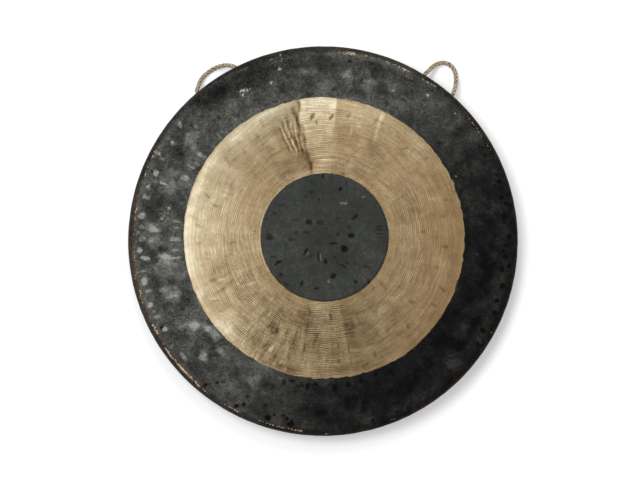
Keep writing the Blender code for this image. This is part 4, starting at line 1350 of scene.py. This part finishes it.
def band_tone(s, warped):
    """The tone of the dark band, whose own circles are those of the rim."""
    # Lighter towards the upper left and darker towards the lower right: partly chalky patina, partly painted
    # sheen and painted shade of the lamp from the upper left
    tone = 0.16 + 0.38 * smoothstep(s.light, -1.0, 0.12) + 0.035 * s.sector(-110, 60, 40)
    tone += s.patches(BAND_SHADES)
    for at, radius, half in DISHES:
        right, up = (part - middle for part, middle in zip(warped, place_by_rim(at, radius / 1000)))
        far = np.hypot(right, up) / (half / 1000)
        upper = 0.55 + 0.45 * up / np.maximum(far * half / 1000, 1e-6)
        # A little lighter inside each dish, partly painted sheen, and a painted highlight round its rim,
        # brightest on its upper side
        tone += 0.045 * smoothstep(far, 1.05, 0.85) + 0.10 * upper * np.exp(-((far - 0.92) / 0.11) ** 2)
    torn_x = s.x + TEAR * s.field(TEAR_SIZE, 24) + FINE_TEAR * s.field(FINE_TEAR_SIZE, 25)
    torn_y = s.y + TEAR * s.field(TEAR_SIZE, 26) + FINE_TEAR * s.field(FINE_TEAR_SIZE, 27)
    torn_clock = np.degrees(np.arctan2(torn_x, torn_y)) + CAMERA_TURN
    torn_away = np.hypot(torn_x, torn_y)
    patchy = 0.30 * s.clouds(0.011, 31)
    for at, radius, wide, tall, change in BAND_PATCHES:
        share = blob(torn_clock, torn_away, at, radius / 1000, wide, tall / 1000)
        tone += 1.15 * change * smoothstep(share + patchy * (share > 0.05), 0.15, 0.85)
    for at, low, high in STROKES:
        reach = smoothstep(s.away, low / 1000 - STROKE_START, low / 1000 + STROKE_START)
        reach = reach * smoothstep(s.away, high / 1000 + STROKE_END, high / 1000 - STROKE_END)
        tone += 0.34 * reach * np.exp(-(turned_by(s.rim_clock, at) / STROKE_WIDTH) ** 2)
    tone += (0.16 - 0.05 * smoothstep(s.light, -0.4, 0.5)) * s.clouds(0.026, 17)
    # A painted highlight along the fold at the upper left
    fold_highlight = s.away - FOLD_HIGHLIGHT_RADIUS + 0.0003 * turned_by(s.clock, FOLD_HIGHLIGHT_CLOCK)
    tone += 0.38 * np.exp(-(fold_highlight / FOLD_HIGHLIGHT_WIDTH) ** 2) * s.sector(FOLD_HIGHLIGHT_CLOCK, 13, 9)
    # The fold and the rim below it are blacker.
    return tone * (1 - 0.40 * smoothstep(s.away, BEND_START - 0.006, BEND_START + 0.001))


def middle_tone(s):
    """The tone of the dark disc in the middle, with painted shade along its lower right edge."""
    return 0.475 + 0.06 * s.clouds(0.035, 41) + 0.03 * s.field(0.006, 43) - s.patches(SHADED_MIDDLE_EDGE)


def rubbed_through(s, in_band):
    """How far the skin is worn away."""
    wear = np.zeros_like(s.x)
    wander = s.away + 0.0008 * s.field(0.02, 61)
    for first, last, radius, half, bare in WORN:
        middle, reach = (first + last) / 2, (last - first) / 2
        along = smoothstep(np.abs(turned_by(s.rim_clock, middle)), reach + 0.8, reach - 0.4)
        wear = np.maximum(wear, bare * along * np.exp(-((wander - radius / 1000) / (half / 1000)) ** 4))
    wear *= (s.z > WORN_ABOVE) * (0.90 + 0.30 * s.field(0.011, 63))
    return np.clip(np.maximum(wear, s.patches(GOLDEN) * in_band), 0, 1)


def paint(points, marks):
    """Values at each point of the gong that its materials read."""
    s = Spots(*points.T)
    warped = s.x + WARP * s.field(WARP_SIZE, 21), s.y + WARP * s.field(WARP_SIZE, 22)
    in_band = smoothstep(s.rho, RING_RADIUS - BLEND, RING_RADIUS + BLEND)
    in_middle = smoothstep(s.rho, CENTRE_RADIUS + BLEND, CENTRE_RADIUS - BLEND)
    scraped = 1 - in_band - in_middle
    top_sheen_fan, foot_sheen_fan = sheen_fans(s)
    ring, band, middle = ring_tone(s, top_sheen_fan, foot_sheen_fan), band_tone(s, warped), middle_tone(s)
    warm_ring = 0.12 + s.patches(WARM_RING) + 0.15 * s.clouds(0.05, 51)
    by_fold = smoothstep(s.rho, FOLD_FROM, FOLD_FULL)
    warm_band = s.patches(WARM_BAND) + 0.30 * by_fold * (0.5 + 0.5 * s.clouds(0.02, 53))
    lively_band = 0.85 + 0.30 * smoothstep(s.light, -0.2, 0.7)
    calm = s.patches(CALM)
    grooved = top_sheen_fan * 1.2 + foot_sheen_fan * 1.5 + s.patches(GROOVED)
    return {
        "rho": s.rho,
        "tone": scraped * ring + in_band * band + in_middle * middle,
        "mark": add_marks(*warped, marks)[1],
        "warm": np.clip(scraped * warm_ring + in_band * warm_band, 0, 1),
        "cool": s.patches(COOL),
        "wear": rubbed_through(s, in_band),
        # where painted glints show on the band
        "speck": in_band * np.clip(s.patches(GLINT_SPECKLED), 0, 1),
        "groove": (0.40 + 0.70 * np.clip(grooved, 0, 1.8)) * (1 - calm),
        "crinkle": 0.04 + s.patches(CRINKLED),
        "lively": in_band * lively_band + in_middle * 0.35 + scraped * (1.0 - calm),
        "ragged": np.where(s.rho < 0.15, 0.12, 0.55 + 0.75 * smoothstep(s.light, -0.1, -0.8)),
    }


# The gong's mesh

COARSE = 194  # points round the smallest circles of the gong's mesh; the wide ones have 4 times as many
BEND_RINGS = 7
RIM_RINGS = 5
BACK_RINGS = 34
FINE_BACK = 0.18  # from here out the back's rings have twice as many points as the smallest
STEP_HALF = 0.0006  # from the edges of the ring to the nearest rings of the mesh
STEP_SLOPE = 0.0007  # from the same edges to where the scraped step begins and ends
RING_MARGIN = 0.0045  # how far the scraped material runs on past the ring, whose edges it draws itself
BACK_CLEARANCE = 0.0007  # how far the hammering on the back is kept off the front
HOLE_SIDES = 40
SHARP_FROM = math.radians(40.0)
# How far apart the rings of points are in the middle, nearer its edge, on the scraped ring and on the band
MIDDLE_PITCH, OUTER_MIDDLE_PITCH, RING_PITCH, BAND_PITCH = 0.0025, 0.0022, 0.0029, 0.00205
# Depths and sizes of the face's broad and finer unevenness, which is fainter from this radius out
BROAD_DEPTH, BROAD_SIZE = 0.00032, 0.075
DENT_DEPTH, DENT_SIZE = 0.00010, 0.02
EVEN_FROM = 0.285
# The same for the rim, whose unevenness grows from the back edge up to this height
WOBBLE_DEPTH, WOBBLE_SIZE = 0.00025, 0.022
RIPPLE_DEPTH, RIPPLE_SIZE = 0.00018, 0.009
WOBBLE_FULL = 0.012
# The same for the inside, and how far in from the bend its hammering begins and is full
INSIDE_DEPTH, INSIDE_SIZE = 0.0002, 0.06
BEATEN_FROM, BEATEN_FULL = 0.001, 0.02
SKIN, SCRAPED, BACK, EDGE = range(4)  # the gong's materials


def zone(low, high, spacing, steps):
    """Rings on the face about this far apart, up to the second radius."""
    count = max(1, round((high - low) / spacing))
    return [(low + (high - low) * (i + 1) / count, None, steps) for i in range(count)]


def bend_arc(radius, bands):
    """Points of the bend from the face to the rim, at this distance from the bend's centre."""
    first, last = math.pi / 2 - FACE_SLOPE, -RIM_TAPER
    angles = [first + (last - first) * i / bands for i in range(bands + 1)]
    return [(BEND_CENTRE[0] + radius * math.cos(a), BEND_CENTRE[1] + radius * math.sin(a)) for a in angles]


def outer_stations():
    """Rings of the outside from the middle out, as (radius, height or None on the face, points round it)."""
    half_way, fine = CENTRE_RADIUS / 2, 4 * COARSE
    stations = zone(0.0, half_way, MIDDLE_PITCH, COARSE)
    stations += zone(half_way, CENTRE_RADIUS - STEP_HALF, OUTER_MIDDLE_PITCH, 2 * COARSE)
    stations += [(CENTRE_RADIUS + STEP_HALF, None, fine)]
    stations += zone(CENTRE_RADIUS + STEP_HALF, RING_RADIUS - STEP_HALF, RING_PITCH, fine)
    stations += [(RING_RADIUS + STEP_HALF, None, fine)]
    stations += zone(RING_RADIUS + STEP_HALF, BEND_START, BAND_PITCH, fine)
    arc = bend_arc(BEND_RADIUS, BEND_RINGS)[1:]
    heights = [arc[-1][1] * (1 - i / RIM_RINGS) for i in range(1, RIM_RINGS + 1)]
    return stations + [(r, h, fine) for r, h in arc + [(rim_radius(height), height) for height in heights]]


def inner_stations():
    """Rings of the inside in the same terms, from the back edge up and in to the middle."""
    edge = rim_radius(0.0) - RIM_THICKNESS / math.cos(RIM_TAPER)
    bend = bend_arc(BEND_RADIUS - FACE_THICKNESS, BEND_RINGS - 1)[::-1]
    shares = [i / RIM_RINGS for i in range(RIM_RINGS)]
    wall = [(edge + (bend[0][0] - edge) * share, bend[0][1] * share) for share in shares]
    face = [(bend[-1][0] * (1 - i / BACK_RINGS), None) for i in range(1, BACK_RINGS)]
    return [(r, h, COARSE if h is None and r < FINE_BACK else 2 * COARSE) for r, h in wall + bend + face]


def ring_points(stations, first, scraped_circles=False):
    """The points of rings, with no height yet on the face, and each ring's point numbers."""
    points, rings = [], []
    for radius, height, steps in stations:
        angles = np.arange(steps) * 2 * math.pi / steps
        x, y = on_circle(radius, angles)
        if scraped_circles and height is None:
            x, y = on_circle(radius + edge_run(angles, radius), angles)
            ox, oy = offset(radius)
            x, y = ox + x, oy + y
        points.append(np.column_stack([x, y, np.full(steps, np.nan if height is None else height)]))
        rings.append(list(range(first, first + steps)))
        first += steps
    return np.concatenate(points), rings


def shape_outside(points, marks):
    """Gives the face its scraped and hammered height, and lets the fold and the rim wander a little."""
    x, y, z = points.T
    face = np.isnan(z)
    side = ~face
    rho, away, angle = uneven_radius(x, y), np.hypot(x, y), np.arctan2(x, y)
    scrape = smoothstep(rho, CENTRE_RADIUS - STEP_SLOPE, CENTRE_RADIUS + STEP_SLOPE)
    scrape = scrape * smoothstep(rho, RING_RADIUS + STEP_SLOPE, RING_RADIUS - STEP_SLOPE)
    broad = BROAD_DEPTH * clouds(x, y, BROAD_SIZE, 71, 3) + DENT_DEPTH * field(x, y, DENT_SIZE, 75)
    broad = broad * (0.35 + 0.65 * smoothstep(away, GONG_RADIUS, EVEN_FROM))
    top = face_height(away) - SCRAPE_DEPTH * scrape - add_marks(x, y, marks)[0] + broad
    points[face, 2] = top[face]
    # Nothing wanders at the back edge, which the gong stands on.
    arc = angle * GONG_RADIUS
    wobble = smoothstep(z, 0.0, WOBBLE_FULL) * (WOBBLE_DEPTH * field(arc, z, WOBBLE_SIZE, 81)
                                                + RIPPLE_DEPTH * field(arc, z, RIPPLE_SIZE, 82))
    points[side, :2] *= (1 - np.abs(wobble[side]) / GONG_RADIUS)[:, None]


def shape_inside(points, blows):
    """Gives the back of the face its hammered height, which fades away where the bend begins."""
    x, y, z = points.T
    face = np.isnan(z)
    away = np.hypot(x, y)
    start = away[~face].min()
    plain = face_height(away) - FACE_THICKNESS
    beaten = plain - SCRAPE_DEPTH - BACK_CLEARANCE - 0.9 * add_marks(x, y, blows)[0]
    beaten = beaten + INSIDE_DEPTH * clouds(x, y, INSIDE_SIZE, 95, 3)
    share = smoothstep(away, start - BEATEN_FROM, start - BEATEN_FULL)
    points[face, 2] = (plain * (1 - share) + beaten * share)[face]


def stitch(lower, upper):
    """Faces between two rings of points, the second with as many or twice as many, wound to face up."""
    n = len(lower)
    faces = []
    for k in range(n):
        m = (k + 1) % n
        if len(upper) == n:
            faces.append((lower[k], upper[k], upper[m], lower[m]))
        else:
            a, b, c = upper[2 * k], upper[2 * k + 1], upper[(2 * k + 2) % (2 * n)]
            faces += [(lower[k], a, b), (lower[k], b, lower[m]), (lower[m], b, c)]
    return faces


def fan_about(tip, ring):
    """Triangles between a point and the ring round it, wound to face up."""
    return [(tip, a, b) for a, b in zip(ring, ring[1:] + ring[:1])]


def flipped(faces):
    return [face[::-1] for face in faces]


def gong_faces(outer, inner, tip):
    """Lists of faces with their material, from both sides' rings, as (radius, height, point numbers)."""
    low, high = CENTRE_RADIUS - RING_MARGIN, RING_RADIUS + RING_MARGIN
    yield fan_about(0, outer[0][2]), SKIN
    for (inside, _, lower), (outside, height, upper) in zip(outer, outer[1:]):
        scraped = height is None and inside > low and outside < high
        yield stitch(lower, upper), SCRAPED if scraped else SKIN
    # The outer rim's last ring has twice as many points as the first inner one.
    yield flipped(stitch(inner[0][2], outer[-1][2])), EDGE
    for (_, _, lower), (_, _, upper) in zip(inner, inner[1:]):
        same = len(upper) == len(lower)
        yield stitch(lower, upper) if same else flipped(stitch(upper, lower)), BACK
    yield flipped(fan_about(tip, inner[-1][2])), BACK


def gong_mesh(marks, blows):
    """The bronze before its holes are drilled, as one closed mesh."""
    outer, inner = outer_stations(), inner_stations()
    outside, outer_rings = ring_points(outer, 1, scraped_circles=True)
    outside = np.concatenate([[(*offset(0.0), np.nan)], outside])
    inside, inner_rings = ring_points(inner, len(outside))
    inside = np.concatenate([inside, [(0.0, 0.0, np.nan)]])
    shape_outside(outside, marks)
    shape_inside(inside, blows)
    points = np.concatenate([outside, inside])
    sides = [[(radius, height, ring) for (radius, height, _), ring in zip(stations, rings)]
             for stations, rings in ((outer, outer_rings), (inner, inner_rings))]
    faces, kinds = [], []
    for new, kind in gong_faces(*sides, len(points) - 1):
        faces += new
        kinds += [kind] * len(new)
    mesh = bpy.data.meshes.new("bronze_disc")
    mesh.from_pydata(points.tolist(), [], faces)
    return mesh, kinds


def make_gong(materials):
    marks, blows = hammer_marks(), back_blows()
    mesh, kinds = gong_mesh(marks, blows)
    for material in materials:
        mesh.materials.append(material)
    mesh.polygons.foreach_set("material_index", kinds)
    gong = add_object("bronze_disc", mesh)
    drill(gong)
    mesh = gong.data
    points = np.zeros(len(mesh.vertices) * 3)
    mesh.vertices.foreach_get("co", points)
    points = points.reshape(-1, 3)
    x, y, z = points.T
    painted = paint(points, marks)
    away = np.hypot(x, y)
    behind = (away < BEND_START) & (z < face_height(away) - FACE_THICKNESS / 2)
    painted["mark"] = np.where(behind, add_marks(x, y, blows)[1], painted["mark"])
    for name, values in painted.items():
        attribute = mesh.attributes.new(name, "FLOAT", "POINT")
        attribute.data.foreach_set("value", np.asarray(values, np.float32))
    mesh.shade_smooth()
    mesh.set_sharp_from_angle(angle=SHARP_FROM)
    return gong


def drill(gong):
    """Cuts the four rope holes through the rim."""
    for pair_angle, spacing in ((-PAIR_ANGLE, LEFT_HOLE_SPACING), (PAIR_ANGLE, RIGHT_HOLE_SPACING)):
        for across in (-spacing / 2, spacing / 2):
            bpy.ops.mesh.primitive_cylinder_add(vertices=HOLE_SIDES, radius=ROPE_RADIUS + HOLE_CLEARANCE,
                                                depth=6 * RIM_THICKNESS)
            cutter = bpy.context.object
            cutter.matrix_world = hole_frame(pair_angle, across)
            cut = gong.modifiers.new("hole", "BOOLEAN")
            cut.operation = "DIFFERENCE"
            cut.solver = "EXACT"
            cut.object = cutter
    graph = bpy.context.evaluated_depsgraph_get()
    mesh = bpy.data.meshes.new_from_object(gong.evaluated_get(graph))
    cutters = [m.object for m in gong.modifiers]
    gong.modifiers.clear()
    gong.data = mesh
    for cutter in cutters:
        bpy.data.objects.remove(cutter)


# The ropes in place


def knot_path(tight, hole, turn):
    """The centreline of a knotted end: from inside its hole, through the knot, to the cut end."""
    c, s = math.cos(turn), math.sin(turn)
    along, across, up = tight.T
    local = np.column_stack([across * c - up * s, across * s + up * c, -(along + KNOT_DEPTH)])
    return even_route([hole @ Vector(p) for p in local[local[:, 2] > -KNOT_END]], KNOT_PATH_STEP)


def make_ropes(jute):
    tight = overhand_path() * ROPE_DIAMETER
    tight = tight[tight[:, 0] > KNOT_LEAD - KNOT_DEPTH]
    tight[:, 1:] -= tight[0, 1:]
    sides = (("left", -PAIR_ANGLE, LEFT_HOLE_SPACING, LEFT_ROUTE, (("lower", -1), ("upper", 1))),
             ("right", PAIR_ANGLE, RIGHT_HOLE_SPACING, RIGHT_ROUTE, (("upper", -1), ("lower", 1))))
    for number, (side, pair_angle, spacing, route, ends) in enumerate(sides):
        path = loop_path(pair_angle, spacing, route)
        rope = laid_rope(f"{side}_rope", path, ROPE_DIAMETER * FULLNESS, 3 + number, LOOP_FIBRES, FIBRE_FLOOR)
        rope.data.materials.append(jute)
        knots = []
        for end, sign in ends:
            hole = hole_frame(pair_angle, sign * spacing / 2)
            knot = laid_rope(f"{side}_{end}_overhand_knot", knot_path(tight, hole, KNOT_TURNS[end] + number),
                             ROPE_DIAMETER, 20 + 2 * number + len(knots), KNOT_FIBRES, fray=True)
            knot.data.materials.append(jute)
            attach(knot, "gong")
            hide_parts(f"{side}_rope_{end}_knot")
            knots.append(knot)
        hinge, _ = hinge_frame(pair_angle, spacing)
        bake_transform(rope)
        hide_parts(f"{side}_rope_loop")
        exit_point = hole_frame(pair_angle, -spacing / 2) @ Vector((0.0, 0.0, 0.0))


def main():
    make_camera()
    make_world()
    make_floor()
    make_lamps()
    make_ropes(make_jute_material())
    makers = {SKIN: make_skin_material, SCRAPED: make_scraped_material, BACK: make_back_material,
              EDGE: make_edge_material}
    gong = make_gong([makers[kind]() for kind in sorted(makers)])
    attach(gong, "gong")
    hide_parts("gong_disc")


main()
bpy.context.scene.view_settings.view_transform = "Standard"
